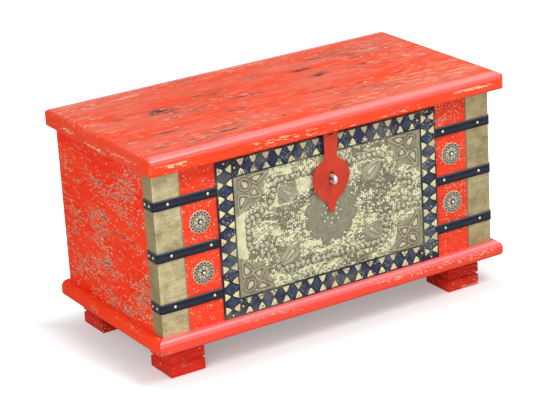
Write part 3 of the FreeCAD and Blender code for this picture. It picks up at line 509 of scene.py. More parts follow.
def cracks(tree, place, grain, level):
    """Masks of a few long thin lines along the grain: the line with its surroundings, and its dark core."""
    slow = noise(tree, stretched(tree, place, drawn(grain, 1.6)), 45.0, 1.0, 0.5)
    off_line = unsigned(tree, minus(tree, slow, 0.5))
    where = noise(tree, stretched(tree, place, drawn(grain, 0.7)), 24.0, 2.0)
    shown = rise(tree, where, level, level + 0.06)
    widths = ((0.055, 0.03), (0.03, 0.015))
    return [times(tree, shown, rise(tree, off_line, *width)) for width in widths]


def dash_masks(tree, place, look, worn):
    """Masks of the dark dashes and cracks: with their pale surroundings, and their cores alone."""
    start = minus(tree, look.dash, times(tree, worn, 0.22))
    wider = minus(tree, start, look.halo)
    within = (drawn(look.grain, 0.5), 16.0, look.dash_level, 0.15)
    around = chips(tree, place, drawn(look.grain, 1.2), look.dash_scale, wider, *within)
    core = chips(tree, place, look.dash_grain, look.dash_scale, start, *within)
    crack_around, crack_core = cracks(tree, place, look.grain, look.crack_level)
    return most(tree, around, crack_around), most(tree, core, crack_core)


def speck_masks(tree, place, look, paler):
    """Masks of the pale specks: with their rims, and the specks alone."""
    shares = (plus(tree, paler, look.share), plus(tree, paler, look.patch_share))
    within = (drawn(look.grain, 0.5), 16.0, look.patch_level)
    sizes = (look.speck + SPECK_RIM_WIDTH, look.speck)
    return [specks(tree, place, look.cells, size, *shares, *within) for size in sizes]


def scuff_mask(tree, place, look, edge):
    """Mask of the scuffs in the band, which run along Y on the end faces."""
    ways = {0: edge.at_ends, 4: stretched(tree, place, look.grain), 5: stretched(tree, place, GRAIN_Y)}
    turned = node(tree, "Mix", ways, data_type="VECTOR").outputs[1]
    start = minus(tree, look.scuff, times(tree, near_marks(tree, place, look.scuff_marks), 0.3))
    found = chips(tree, turned, (1.4, 1.4, 1.0), look.scuff_scale, start, patch=34.0, gain=0.17)
    return times(tree, found, edge.band)


print("grain along X, drawn out more:", [round(value, 3) for value in drawn(GRAIN_X, 1.6)])

# %% [markdown]
# ## Red paint on wood: the layers
# The paint itself is two reds that drift into each other, with lighter streaks of the brush. Dark wear is
# laid over it first and pale wear after that, so that specks of undercoat also show inside the dark
# patches. The usual look is one set of values, and each board then names only what differs.

# %% Red layers
# Pink of the painted highlight on the rounded front edge of lid and plinth.
SHINE_PINK = colour(252, 118, 128)
DEEP_WOOD = colour(62, 44, 48)
SPECK_RIM = colour(190, 62, 42)
SCUFF_CREAM = colour(252, 208, 166)
USUAL_LOOK = dict(
    base=(248, 56, 28), tint=(234, 42, 18), light=(255, 88, 52), tint_scale=11.0, brush_scale=240.0,
    dash=0.72, dash_grain=None, dash_scale=130.0, dash_level=0.56, halo=0.07, haze=0.75,
    dash_edge=(206, 160, 138), dash_core=(120, 96, 84), crack_level=0.66,
    cells=(300.0, 300.0, 300.0), share=0.08, patch_share=0.4, patch_level=0.48, speck=0.44, rim=0.45,
    cream=(240, 198, 150), grey=(196, 146, 128),
    edge=None, outer=(240, 66, 34), edge_pink=0.0, scuff=0.7, scuff_scale=420.0,
    worn_marks=(), deep_marks=(), pale_marks=(), scuff_marks=(),
)


def brushed_red(tree, place, look):
    """The streaks of the brush, and the paint before any wear."""
    slow = noise(tree, stretched(tree, place, look.grain), look.tint_scale, 5.0, 0.7)
    shade = blend_colours(tree, rise(tree, slow, 0.42, 0.58), colour(*look.base), colour(*look.tint))
    brush = noise(tree, stretched(tree, place, drawn(look.grain, 1.2)), look.brush_scale, 3.0, 0.65)
    return brush, over(tree, rise(tree, brush, 0.5, 0.68), 0.7, shade, colour(*look.light))


def dark_wear(tree, place, look, painted, around, dashes):
    """The paint with its dashes, cracks and deep marks."""
    painted = over(tree, around, look.haze, painted, colour(*look.dash_edge))
    painted = over(tree, dashes, 0.8, painted, colour(*look.dash_core))
    ragged = rise(tree, noise(tree, stretched(tree, place, look.dash_grain), 420.0, 2.0), 0.36, 0.5)
    deep = times(tree, near_marks(tree, place, look.deep_marks), ragged)
    return over(tree, deep, 0.9, painted, DEEP_WOOD)


def pale_wear(tree, place, look, painted, rims, pale, paler):
    """The paint with its cream specks, and with long streaks where the marks ask for more of them."""
    painted = over(tree, rims, look.rim, painted, SPECK_RIM)
    cream = colour(*look.cream)
    tone = blend_colours(tree, rise(tree, noise(tree, place, 160.0), 0.44, 0.56), cream, colour(*look.grey))
    painted = over(tree, pale, 0.9, painted, tone)
    long_noise = noise(tree, stretched(tree, place, (0.1, 1.0, 1.0)), 150.0, 4.0, 0.65)
    return over(tree, times(tree, rise(tree, long_noise, 0.56, 0.64), paler), 1.3, painted, cream)


print("values of the usual look:", len(USUAL_LOOK))

# %% [markdown]
# ## Red paint on wood: the finish
# One function makes all the red finishes. On outer edges, dashes and specks give way to scuffs and polish,
# except where a mark asks for them, and the rounded edge is painted pink as a highlight. Where paint is
# missing the surface is lower and rougher, and the clear coat is gone.

# %% Red finish
def red_paint(name, grain, **changes):
    """Worn red paint: the usual look with changes. A lower dash, crack_level or scuff shows more of it."""
    look = SimpleNamespace(**{**USUAL_LOOK, **changes}, grain=grain)
    look.dash_grain = look.dash_grain or drawn(grain, 1.2)
    material, tree, shader, place = new_finish(name)
    brush, painted = brushed_red(tree, place, look)
    worn = near_marks(tree, place, look.worn_marks)
    paler = times(tree, near_marks(tree, place, look.pale_marks), 0.6)
    around, dashes = dash_masks(tree, place, look, worn)
    rims, pale = speck_masks(tree, place, look, paler)
    if look.edge:
        edge = edge_masks(tree, place, **look.edge)
        painted = over(tree, edge.outside, 0.75, painted, colour(*look.outer))
        # Painted highlight: pink laid on the rounded edge.
        painted = over(tree, edge.rounded, look.edge_pink, painted, SHINE_PINK)
        fewer = ranged(tree, edge.outside, 1.0, 0.1)
        around, dashes = (times(tree, mask, most(tree, fewer, worn)) for mask in (around, dashes))
        rims, pale = (times(tree, mask, most(tree, fewer, times(tree, paler, 1.6))) for mask in (rims, pale))
    painted = dark_wear(tree, place, look, painted, around, dashes)
    painted = pale_wear(tree, place, look, painted, rims, pale, paler)
    bare = most(tree, around, rims)
    if look.edge:
        scuffs = scuff_mask(tree, place, look, edge)
        painted = over(tree, scuffs, 0.85, painted, SCUFF_CREAM)
        bare = most(tree, bare, scuffs)
        into(tree, shader, Coat_Weight=times(tree, edge.rounded, minus(tree, 1.0, bare)), Coat_Roughness=0.22)
    height = minus(tree, times(tree, brush, 0.4), times(tree, bare, 0.6))
    into(tree, shader, Base_Color=painted, Roughness=ranged(tree, bare, 0.45, 0.75), Specular_IOR_Level=0.04,
         Normal=relief_normal(tree, height, 0.3 * MM, soft_edges(tree, 1.4 * MM)))
    return material


# %% [markdown]
# ## Red paint on wood: seven finishes
# The lid is handled most and lies in the light, so it is the most worn and the most orange, and its specks
# are small and soft. The front and the sides have many cream specks. The plinth has few, but its front is
# scuffed. The feet are a darker red.

# %% Seven red finishes
lid_paint = red_paint(
    "lid_paint", GRAIN_LID, base=(250, 74, 28), tint=(240, 104, 80), light=(246, 134, 108), tint_scale=22.0,
    brush_scale=300.0, cells=(36.0, 190.0, 300.0), share=0.04, patch_share=0.42, patch_level=0.5, speck=0.36,
    rim=0.0, cream=(255, 190, 158), grey=(248, 154, 128), dash=0.75, dash_grain=(0.1, 0.7, 1.0),
    dash_scale=430.0, dash_level=0.53, dash_edge=(182, 112, 92), dash_core=(112, 74, 72), halo=0.1, haze=0.6,
    crack_level=0.72, edge=LID_EDGE, scuff=0.73, edge_pink=0.32, worn_marks=LID_WORN, deep_marks=LID_DEEP,
    pale_marks=LID_PALE, scuff_marks=LID_SCUFFS)
side_paint = red_paint(
    "side_paint", GRAIN_Y, base=(252, 62, 26), tint=(246, 46, 14), cells=(260.0, 120.0, 290.0), share=0.07,
    patch_share=0.66, cream=(240, 190, 148), dash_scale=170.0, dash_level=0.52, dash_edge=(204, 146, 122),
    worn_marks=SIDE_WORN, deep_marks=SIDE_DEEP)
front_paint = red_paint(
    "front_paint", GRAIN_X, base=(242, 70, 46), tint=(230, 60, 40), cells=(230.0, 330.0, 300.0), share=0.17,
    patch_share=0.55, dash=0.8)
back_paint = red_paint(
    "back_paint", GRAIN_X, cells=(120.0, 300.0, 290.0), share=0.07, patch_share=0.6, cream=(240, 190, 148),
    dash_scale=170.0, dash_level=0.52, crack_level=0.6)
plinth_front_paint = red_paint(
    "plinth_front_paint", GRAIN_X, base=(246, 66, 44), tint=(236, 54, 36), cells=(200.0, 300.0, 270.0),
    share=0.02, patch_share=0.12, dash=0.84, edge=PLINTH_EDGE, outer=(244, 84, 68), scuff=0.75,
    scuff_scale=640.0, edge_pink=0.5, worn_marks=PLINTH_WORN, deep_marks=CORNER_DEEP, pale_marks=CORNER_PALE)
plinth_side_paint = red_paint(
    "plinth_side_paint", GRAIN_Y, base=(252, 68, 32), tint=(246, 56, 22), cells=(260.0, 110.0, 290.0),
    share=0.02, patch_share=0.25, speck=0.38, dash=0.88, crack_level=0.8, worn_marks=PLINTH_WORN,
    deep_marks=CORNER_DEEP, pale_marks=PLINTH_PALE)
foot_paint = red_paint(
    "foot_paint", GRAIN_X, base=(214, 48, 34), tint=(190, 36, 26), light=(234, 74, 56),
    cells=(150.0, 230.0, 330.0), share=0.03, patch_share=0.3, speck=0.34, dash=0.8)

paint_piece(lid_paint, "lid_board")
paint_piece(side_paint, "side_panel_left", "side_panel_right")
paint_piece(front_paint, "front_panel")
paint_piece(back_paint, "back_panel")
paint_piece(plinth_front_paint, "plinth_front", "plinth_back")
paint_piece(plinth_side_paint, "plinth_left", "plinth_right")
paint_piece(foot_paint, *["foot_" + a + "_" + b for a in ("front", "back") for b in ("left", "right")])

# %% [markdown]
# ## Bare wood inside
# The floor of the chest, the cleats under the lid and the dowels are bare: brown, with long fibres. Noise
# stretched hard along the grain gives fibres, and a slower noise gives the darker bands of the growth
# rings.

# %% Bare wood
def bare_wood(name, grain):
    """Plain wood with fibres and growth bands."""
    material, tree, shader, place = new_finish(name)
    along = stretched(tree, place, grain)
    fibre = noise(tree, along, 420.0, 4.0, 0.6)
    band = noise(tree, along, 40.0, 3.0, 0.5)
    tone = blend_colours(tree, rise(tree, band, 0.35, 0.65), colour(186, 142, 96), colour(150, 106, 66))
    wood = blend_colours(tree, rise(tree, fibre, 0.45, 0.75), tone, colour(112, 76, 46))
    into(tree, shader, Base_Color=wood, Roughness=0.62, Normal=relief_normal(tree, fibre, 0.2 * MM))
    return material


paint_piece(bare_wood("long_wood", (0.05, 1.0, 1.0)), "bottom_board", "foot_dowels", "corner_dowels")
paint_piece(bare_wood("cross_wood", (1.0, 0.05, 1.0)), "lid_cleat_left", "lid_cleat_right")

# %% [markdown]
# ## Sheet brass on the corners
# The corner sheets are thin pale brass, hammered a little and stained by hand. Fine hatching runs across
# them, and the free edge is frayed and dark. The fold at the corner is rubbed bright and painted lighter as a
# highlight, the side faces are painted darker as shade, and dark lines of painted shade stand for creases.
# Where the sheet ends and folds is read from its box, so that these marks follow the sheet.

# %% Corner brass
sheet_low, sheet_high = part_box("corner_brass_left")
sheet_thick = 0.8 * MM
sheet_side = -sheet_low.x
sheet_fold = -sheet_low.x - sheet_low.y
sheet_inner = -sheet_high.x
side_from = 1.2 * MM
side_full = 0.6 * MM
fold_from = 2.2 * MM
fold_full = 1.0 * MM
fray_from = 6.0 * MM
fray_full = 3.2 * MM
fray_depth = 5 * MM


def brass_tone(tree, place, stain, scratch):
    """Stained brass with scratches, hatching and tarnish, darker on the right, with painted shade on the side
    faces and in creases and a painted highlight on the fold.
    """
    apart = axes(tree, place)
    width = unsigned(tree, apart["X"])
    tone = blend_colours(tree, rise(tree, stain, 0.36, 0.72), colour(216, 199, 154), colour(168, 149, 108))
    # Painted shade: the side faces are darker.
    shaded_side = rise(tree, width, sheet_side - side_from, sheet_side - side_full)
    tone = over(tree, shaded_side, 0.7, tone, colour(138, 120, 70))
    tone = over(tree, rise(tree, apart["X"], 0.0, 1 * MM), 0.4, tone, colour(140, 122, 76))
    tone = over(tree, rise(tree, scratch, 0.52, 0.68), 0.55, tone, colour(136, 122, 90))
    hatch = noise(tree, stretched(tree, place, (0.04, 0.04, 1.0)), 640.0, 1.0, 0.5)
    tone = over(tree, rise(tree, hatch, 0.52, 0.62), 0.27, tone, colour(122, 104, 76))
    ragged = plus(tree, width, times(tree, stain, fray_depth))
    frayed = rise(tree, ragged, sheet_inner + fray_from, sheet_inner + fray_full)
    tone = over(tree, frayed, 0.6, tone, colour(92, 80, 56))
    tarnish = noise(tree, stretched(tree, place, (1.0, 1.0, 0.5)), 34.0, 4.0, 0.6)
    tone = over(tree, rise(tree, tarnish, 0.52, 0.72), 0.4, tone, colour(132, 108, 64))
    # Painted shade: dark lines that stand for the shade in creases.
    crease_shade = chips(tree, place, (0.12, 0.12, 1.0), 220.0, 0.74, (0.3, 0.3, 1.0), 30.0, 0.56, 0.1)
    tone = over(tree, crease_shade, 0.8, tone, colour(84, 66, 46))
    # The fold is rubbed bright and painted lighter as a highlight.
    outward = minus(tree, width, apart["Y"])
    fold = rise(tree, outward, sheet_fold - fold_from, sheet_fold - fold_full)
    return over(tree, fold, 0.6, tone, colour(240, 232, 190))


def stained_brass():
    """Pale brass sheet with stains, fine scratches across it, shallow dents and a fold rubbed bright and
    painted lighter.
    """
    material, tree, shader, place = new_finish("corner_brass")
    stain = noise(tree, stretched(tree, place, (0.7, 0.7, 0.8)), 42.0, 5.0, 0.68)
    scratch = noise(tree, stretched(tree, place, (0.12, 0.12, 1.0)), 420.0, 3.0, 0.65)
    dent = noise(tree, place, 55.0, 2.0, 0.5)
    height = plus(tree, times(tree, dent, 0.85), times(tree, scratch, 0.15))
    into(tree, shader, Base_Color=brass_tone(tree, place, stain, scratch), Metallic=0.5,
         Roughness=ranged(tree, stain, 0.38, 0.58), Normal=relief_normal(tree, height, 0.8 * MM))
    return material


paint_piece(stained_brass(), "corner_brass_left", "corner_brass_right")

# %% [markdown]
# ## Iron straps
# The straps are hammered iron under a thick dark blue paint. Each gets painted bands of light and shade: a
# painted highlight on the upper edge, a painted sheen in the middle and a painted shade on the lower edge,
# with the side faces painted darker as shade. These bands lie at shares of the strap's own height, so each
# level gets a finish that reads the box of its strap.

# %% Straps
strap_side_from = 1.6 * MM
strap_side_full = 0.8 * MM


def strap_iron(level):
    """Thick navy paint on hammered iron, with painted bands of light and shade along the strap."""
    material, tree, shader, place = new_finish("strap_paint_" + level)
    low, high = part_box("strap_left_" + level)
    apart = axes(tree, place)
    span = {"Value": apart["Z"], "From Min": low.z, "From Max": high.z}
    upward = node(tree, "MapRange", span).outputs["Result"]
    mottle = noise(tree, stretched(tree, place, (0.4, 0.4, 1.0)), 110.0, 4.0, 0.6)
    tone = blend_colours(tree, rise(tree, mottle, 0.35, 0.7), colour(10, 12, 24), colour(28, 31, 50))
    # Painted sheen in the middle, painted highlight on the upper edge, painted shade on the lower edge.
    off_middle = unsigned(tree, minus(tree, upward, 0.4))
    tone = over(tree, rise(tree, off_middle, 0.2, 0.04), 0.22, tone, colour(66, 68, 88))
    tone = over(tree, rise(tree, upward, 0.84, 0.95), 0.5, tone, colour(104, 110, 126))
    tone = over(tree, rise(tree, upward, 0.2, 0.08), 0.75, tone, colour(16, 10, 20))
    # Painted shade: the side faces are darker.
    shaded_side = rise(tree, unsigned(tree, apart["X"]), -low.x - strap_side_from, -low.x - strap_side_full)
    tone = over(tree, shaded_side, 0.6, tone, colour(16, 12, 16))
    tone = over(tree, edge_wear(tree, place, 1.8 * MM, 160.0, 0.3), 0.3, tone, colour(96, 100, 112))
    hammered = noise(tree, place, 48.0, 2.0, 0.5)
    into(tree, shader, Base_Color=tone, Roughness=ranged(tree, mottle, 0.24, 0.42), Specular_IOR_Level=0.3,
         Normal=relief_normal(tree, hammered, 0.9 * MM, soft_edges(tree, 1.2 * MM)))
    return material


for level in ("lower", "middle", "upper"):
    paint_piece(strap_iron(level), "strap_left_" + level, "strap_right_" + level)

# %% [markdown]
# ## Nails and other small bright metal
# Pins, screws and hinges are plain polished metal with a little tarnish. The nail heads are so small that
# their form would get lost, so their finish paints it: a painted shade darkens the rim, by how far each
# place lies below the top of its head, and the top stays bright.

# %% Nails and hinges
NAIL_SHADE_FROM = 0.35
NAIL_SHADE_FULL = 0.75


def tarnished(tree, place, light, dark):
    """A fine tarnish, and the colour that it gives."""
    tarnish = noise(tree, place, 260.0, 3.0, 0.6)
    return tarnish, blend_colours(tree, rise(tree, tarnish, 0.45, 0.75), light, dark)


def bright_metal(name, light, dark, rough):
    """Small polished metal with a little tarnish."""
    material, tree, shader, place = new_finish(name)
    tarnish, tone = tarnished(tree, place, light, dark)
    into(tree, shader, Base_Color=tone, Metallic=0.9, Roughness=ranged(tree, tarnish, rough, rough + 0.2),
         Normal=relief_normal(tree, tarnish, 0.05 * MM))
    return material


def nail_finish(node_name, dome, on_sides=False):
    """Nail heads with a painted shade round the rim. The heads stand in front, and some also on the sides."""
    material, tree, shader, place = new_finish(node_name + "_metal")
    low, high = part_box(node_name)
    apart = axes(tree, place)
    below = minus(tree, apart["Y"], low.y)
    if on_sides:
        below = math_of(tree, "MINIMUM", below, minus(tree, high.x, unsigned(tree, apart["X"])))
    tarnish, tone = tarnished(tree, place, colour(236, 228, 196), colour(190, 178, 142))
    # Painted shade: the rim of each head is darkened below its top.
    rim = rise(tree, below, dome * NAIL_SHADE_FROM, dome * NAIL_SHADE_FULL)
    tone = over(tree, rim, 0.85, tone, colour(58, 52, 42))
    into(tree, shader, Base_Color=tone, Metallic=0.85, Roughness=0.36,
         Normal=relief_normal(tree, tarnish, 0.05 * MM))
    return material


plain_steel = bright_metal("plain_steel", colour(236, 236, 232), colour(170, 170, 166), 0.22)
hinge_metal = bright_metal("hinge_metal", colour(214, 176, 104), colour(160, 120, 62), 0.35)
paint_piece(nail_finish("strap_nails", 1.8 * MM, on_sides=True), "strap_nails")
paint_piece(nail_finish("rosette_nails", 2.6 * MM), "rosette_nails")
paint_piece(nail_finish("frame_nails", 1.2 * MM), "frame_nails")
paint_piece(plain_steel, "hasp_pin")
paint_piece(hinge_metal, "hinge_screws_chest", "hinge_screws_lid", "hasp_leaf_screws",
            *["hinge_" + a + "_" + b for a in ("leaf_chest", "leaf_lid", "pin") for b in ("left", "right")])

# %% [markdown]
# ## The red hasp
# The hasp is iron under a smooth, slightly darker red than the wood. The paint rounds its edges, and a few
# chips show dark metal.

# %% Hasp paint
def hasp_finish():
    """Smooth red paint on iron."""
    material, tree, shader, place = new_finish("hasp_paint")
    slow = noise(tree, place, 30.0, 3.0, 0.6)
    tone = blend_colours(tree, rise(tree, slow, 0.35, 0.65), colour(206, 58, 30), colour(192, 52, 30))
    tone = over(tree, chips(tree, place, (1, 1, 1), 260.0, 0.76), 0.7, tone, colour(110, 60, 50))
    ripple = noise(tree, place, 85.0, 2.0, 0.5)
    into(tree, shader, Base_Color=tone, Roughness=0.4, Specular_IOR_Level=0.3,
         Normal=relief_normal(tree, ripple, 0.3 * MM, soft_edges(tree, 0.9 * MM, 6)))
    return material


paint_piece(hasp_finish(), "hasp", "hasp_leaf")

# %% [markdown]
# ## Pieces made here
# A new piece starts as a bmesh and ends as an object at the origin that rides on a body of the frame. One
# helper does the ending for all of them. The others pick out what an operator has made, and copy a finished
# mesh.

# %% Piece helpers
SMOOTH_ANGLE = math.radians(38)


def as_mesh(bm, name):
    """A bmesh kept as a mesh."""
    mesh = bpy.data.meshes.new(name)
    bm.to_mesh(mesh)
    bm.free()
    return mesh


def finish_piece(bm, name, material, body, replaced=()):
    """Turns a bmesh into a piece that rides on a body."""
    bmesh.ops.recalc_face_normals(bm, faces=bm.faces)
    mesh = as_mesh(bm, name)
    mesh.shade_smooth()
    mesh.set_sharp_from_angle(angle=SMOOTH_ANGLE)
    mesh.materials.append(material)
    piece = bpy.data.objects.new(name, mesh)
    bpy.context.scene.collection.objects.link(piece)
    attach(piece, body)
    if replaced:
        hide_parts(*replaced)
    print(name, "faces:", len(mesh.polygons))


def made_points(made):
    """The vertices in what an operator made."""
    return [item for item in made if isinstance(item, bmesh.types.BMVert)]


def made_edges(made):
    """The edges in what an operator made."""
    return [item for item in made if isinstance(item, bmesh.types.BMEdge)]


def add_copy(bm, mesh, move, values=None):
    """Adds a copy of a mesh, moved by a matrix, and gives its faces a value in each layer."""
    known = set(bm.verts)
    known_faces = set(bm.faces)
    bm.from_mesh(mesh)
    bmesh.ops.transform(bm, matrix=move, verts=[v for v in bm.verts if v not in known])
    if values:
        for face in (f for f in bm.faces if f not in known_faces):
            for layer, value in values.items():
                face[layer] = value


# %% [markdown]
# ## The staple
# The staple is one thick bent rod that comes through the slot of the hasp. Its colour goes from silver in
# front to gold behind and above. The rod is a circle that is extruded to make one leg, spun half a turn to
# make the bend, and extruded again.

# %% Staple
staple_low, staple_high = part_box("staple")
staple_rod = 3.9 * MM
staple_half = (staple_high.z - staple_low.z) / 2 - staple_rod
staple_middle = (staple_high.z + staple_low.z) / 2
staple_bend = staple_low.y + staple_half + staple_rod
silver_depth = 12 * MM


def push_edges(bm, edges, travel):
    """Extrudes a ring of edges along Y and returns the new ring."""
    made = bmesh.ops.extrude_edge_only(bm, edges=edges)["geom"]
    fresh = made_points(made)
    bmesh.ops.translate(bm, verts=fresh, vec=(0, travel, 0))
    return [e for e in made_edges(made) if all(v in fresh for v in e.verts)]


def staple_piece():
    """The bent rod."""
    bm = bmesh.new()
    leg_start = Matrix.Translation((0, staple_high.y, staple_middle + staple_half))
    bmesh.ops.create_circle(bm, cap_ends=False, segments=18, radius=staple_rod,
                            matrix=leg_start @ Matrix.Rotation(math.pi / 2, 4, "X"))
    end = push_edges(bm, list(bm.edges), staple_bend - staple_high.y)
    corners = list({v for e in end for v in e.verts})
    spun = bmesh.ops.spin(bm, geom=end + corners, cent=(0, staple_bend, staple_middle), axis=(1, 0, 0),
                          angle=math.pi, steps=14, use_merge=False)
    push_edges(bm, made_edges(spun["geom_last"]), staple_high.y - staple_bend)
    bmesh.ops.holes_fill(bm, edges=[e for e in bm.edges if e.is_boundary])
    return bm


def staple_finish():
    """The rod's colour: silver in front, gold behind and above."""
    material, tree, shader, place = new_finish("silver_gold_staple")
    apart = axes(tree, place)
    upward = times(tree, minus(tree, apart["Z"], staple_middle), 60.0)
    backward = times(tree, minus(tree, apart["Y"], staple_low.y + silver_depth), 90.0)
    ragged = noise(tree, place, 220.0, 3.0, 0.6)
    gold_share = rise(tree, plus(tree, upward, backward, ragged), 0.5, 0.9)
    tone = blend_colours(tree, gold_share, colour(208, 210, 210), colour(224, 186, 122))
    tarnish = noise(tree, place, 300.0, 3.0, 0.6)
    tone = over(tree, rise(tree, tarnish, 0.52, 0.75), 0.4, tone, colour(128, 122, 112))
    into(tree, shader, Base_Color=tone, Metallic=0.45, Roughness=ranged(tree, tarnish, 0.3, 0.5),
         Normal=relief_normal(tree, tarnish, 0.1 * MM))
    return material


finish_piece(staple_piece(), "bent_staple", staple_finish(), "chest", ("staple",))

# %% [markdown]
# ## Mosaic frame: the shapes of the inlays
# Four flat strips frame the panel. Cream tiles stand along both edges of each strip with their blunt tips
# towards each other, and dark blue diamonds fill the space between them. The tile is drawn once as an
# outline with five corners. Its side and tip corners are rounded with a vertex bevel, and the face is
# extruded and its rim eased.

# %% Inlay shapes
strip_rim = 2.4 * MM
tile_base = 17.0 * MM
tile_depth = 14.2 * MM
tile_pitch = 27.8 * MM
tile_bulge = 0.6 * MM
tile_gap = 0.35 * MM
tile_waist = 0.56
tip_round = 2.4 * MM
side_round = 3.6 * MM
tile_ease = 0.45 * MM
diamond_rise = 0.25 * MM
diamond_sunk = 0.5 * MM
diamond_ease = 0.3 * MM
tiles_low, tiles_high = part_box("mosaic_tiles")
tile_front = tiles_low.y
tile_back = tiles_high.y


def flat_outline(points):
    """A face in the plane of the front, from points (across, up)."""
    bm = bmesh.new()
    corners = [bm.verts.new((x, 0, z)) for x, z in points]
    bm.faces.new(corners)
    return bm, corners


def thicken(bm, depth, ease):
    """Extrudes the flat face forward and eases its front rim."""
    front = made_points(bmesh.ops.extrude_face_region(bm, geom=list(bm.faces))["geom"])
    bmesh.ops.translate(bm, verts=front, vec=(0, -depth, 0))
    rim = [e for e in bm.edges if all(v in front for v in e.verts)]
    bmesh.ops.bevel(bm, geom=rim, offset=ease, offset_type="OFFSET", segments=2, profile=0.5,
                    affect="EDGES", material=-1, clamp_overlap=True)


def tile_shape():
    """One tile with its base at z = 0 and its tip up, as a mesh."""
    half = tile_base / 2 - tile_gap
    waist = half * tile_waist + tile_bulge
    points = [(-half, 0), (half, 0), (waist, tile_depth / 2), (0, tile_depth), (-waist, tile_depth / 2)]
    bm, corners = flat_outline(points)
    for corner, offset in ((corners[3], tip_round), (corners[2], side_round), (corners[4], side_round)):
        bmesh.ops.bevel(bm, geom=[corner], offset=offset, offset_type="OFFSET", segments=4, profile=0.5,
                        affect="VERTICES", material=-1, clamp_overlap=True)
    thicken(bm, tile_back - tile_front, tile_ease)
    return as_mesh(bm, "tile_shape")


def diamond_shape(half_along, half_across):
    """One diamond inlay that lies along X."""
    bm, _ = flat_outline([(half_along, 0), (0, half_across), (-half_along, 0), (0, -half_across)])
    thicken(bm, diamond_rise + diamond_sunk, diamond_ease)
    return as_mesh(bm, "diamond_shape")


tile = tile_shape()
print("one tile:", len(tile.polygons), "faces")

# %% [markdown]
# ## Mosaic frame: the inlays in their places
# Every tile was cut by hand, so each copy has its own size and tilt, and carries its own tint and wear as
# values on its faces. The strips' boxes say how many tiles fit and where they stand. A few rows are more
# worn than others.

# %% Inlay places
STRIPS = ("frame_left", "frame_right", "frame_bottom", "frame_top")
USUAL_WEAR = (0.0, 0.4)
MORE_WEAR = {
    ("frame_top", 1): (0.5, 1.0),
    ("frame_bottom", -1): (0.3, 0.9),
    ("frame_bottom", 1): (0.0, 0.5),
}
field_depth = 0.8 * MM
diamond_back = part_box("frame_left")[0].y + field_depth + diamond_sunk
diamond_end_gap = 1.2 * MM
diamond_side_gap = 0.6 * MM


def strip_layout():
    """For each strip: its name, whether it is upright, its two sides, and its tiles' middles along it."""
    for name in STRIPS:
        low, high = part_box(name)
        upright = high.z - low.z > high.x - low.x
        sideways, height = (low.x, high.x), (low.z, high.z)
        across, along = (sideways, height) if upright else (height, sideways)
        count = int((along[1] - along[0] - tile_base) / tile_pitch) + 1
        first = (along[0] + along[1]) / 2 - (count - 1) / 2 * tile_pitch
        yield name, upright, across, [first + index * tile_pitch for index in range(count)]


def inlay_move(upright, turn, size, across, depth, along):
    """The matrix that sizes and turns an inlay and puts it at a place across and along its strip."""
    place = (across, depth, along) if upright else (along, depth, across)
    sized = Matrix.Diagonal((size[0], 1, size[1], 1))
    return Matrix.Translation(place) @ Matrix.Rotation(turn, 4, "Y") @ sized


def mosaic_pieces():
    """All tiles as one mesh and all diamonds as another, each inlay with its own tint."""
    draw = random.Random(11)
    tiles, diamonds = bmesh.new(), bmesh.new()
    tile_tint = tiles.faces.layers.float.new("tint")
    tile_wear = tiles.faces.layers.float.new("wear")
    diamond_tint = diamonds.faces.layers.float.new("tint")
    diamond = None
    for name, upright, across, middles in strip_layout():
        half_across = (across[1] - across[0]) / 2 - strip_rim - diamond_side_gap
        diamond = diamond or diamond_shape(tile_pitch / 2 - diamond_end_gap, half_across)
        for along in middles:
            for edge, inward in ((across[0] + strip_rim, 1), (across[1] - strip_rim, -1)):
                facing = math.pi / 2 * inward if upright else (0 if inward > 0 else math.pi)
                size = (draw.uniform(0.92, 1.04), draw.uniform(0.9, 1.03))
                wear = draw.uniform(*MORE_WEAR.get((name, inward), USUAL_WEAR))
                move = inlay_move(upright, facing + draw.uniform(-0.05, 0.05), size, edge, tile_back, along)
                add_copy(tiles, tile, move, {tile_tint: draw.random(), tile_wear: wear})
        facing = math.pi / 2 if upright else 0
        for along in ((first + second) / 2 for first, second in zip(middles, middles[1:])):
            size = (draw.uniform(0.94, 1.0), draw.uniform(0.94, 1.0))
            move = inlay_move(upright, facing, size, sum(across) / 2, diamond_back, along)
            add_copy(diamonds, diamond, move, {diamond_tint: draw.random()})
    return tiles, diamonds


# %% [markdown]
# ## Mosaic frame: its finishes
# The tiles run from cream to peach, with brown stains, and the worn ones show their dark ground. The
# diamonds are a dark blue glaze that turns teal in one piece and purple in another. A pale film of dust
# lies over all of it.

# %% Mosaic finishes
DUST = colour(150, 146, 128)
DUST_GRAIN = colour(196, 194, 176)


def dusted(tree, place, tone, film_share=0.3):
    """A faded film that lies over parts of the mosaic, with pale grains in it."""
    film = rise(tree, noise(tree, place, 17.0, 3.0, 0.6), 0.46, 0.66)
    grains = chips(tree, place, (1, 1, 1), 330.0, 0.70)
    return over(tree, grains, 0.6, over(tree, film, film_share, tone, DUST), DUST_GRAIN)


def inlay_tile_finish():
    """Cream to peach inlay, each tile in its own tint, with stains on it."""
    material, tree, shader, place = new_finish("inlay_cream")
    tint = attribute(tree, "tint")
    cream = blend_colours(tree, rise(tree, tint, 0.68, 1.0), colour(226, 216, 166), colour(230, 196, 148))
    tone = blend_colours(tree, rise(tree, tint, 0.0, 0.12), colour(190, 196, 160), cream)
    cloud = noise(tree, place, 180.0, 3.0, 0.6)
    tone = over(tree, rise(tree, cloud, 0.5, 0.7), 0.8, tone, colour(158, 138, 98))
    worn_from = ranged(tree, attribute(tree, "wear"), 0.72, 0.4)
    worn = rise(tree, noise(tree, place, 230.0, 3.0, 0.6), worn_from, plus(tree, worn_from, 0.06))
    tone = over(tree, worn, 0.8, tone, colour(74, 74, 78))
    into(tree, shader, Base_Color=dusted(tree, place, tone), Roughness=0.42,
         Normal=relief_normal(tree, cloud, 0.15 * MM))
    return material


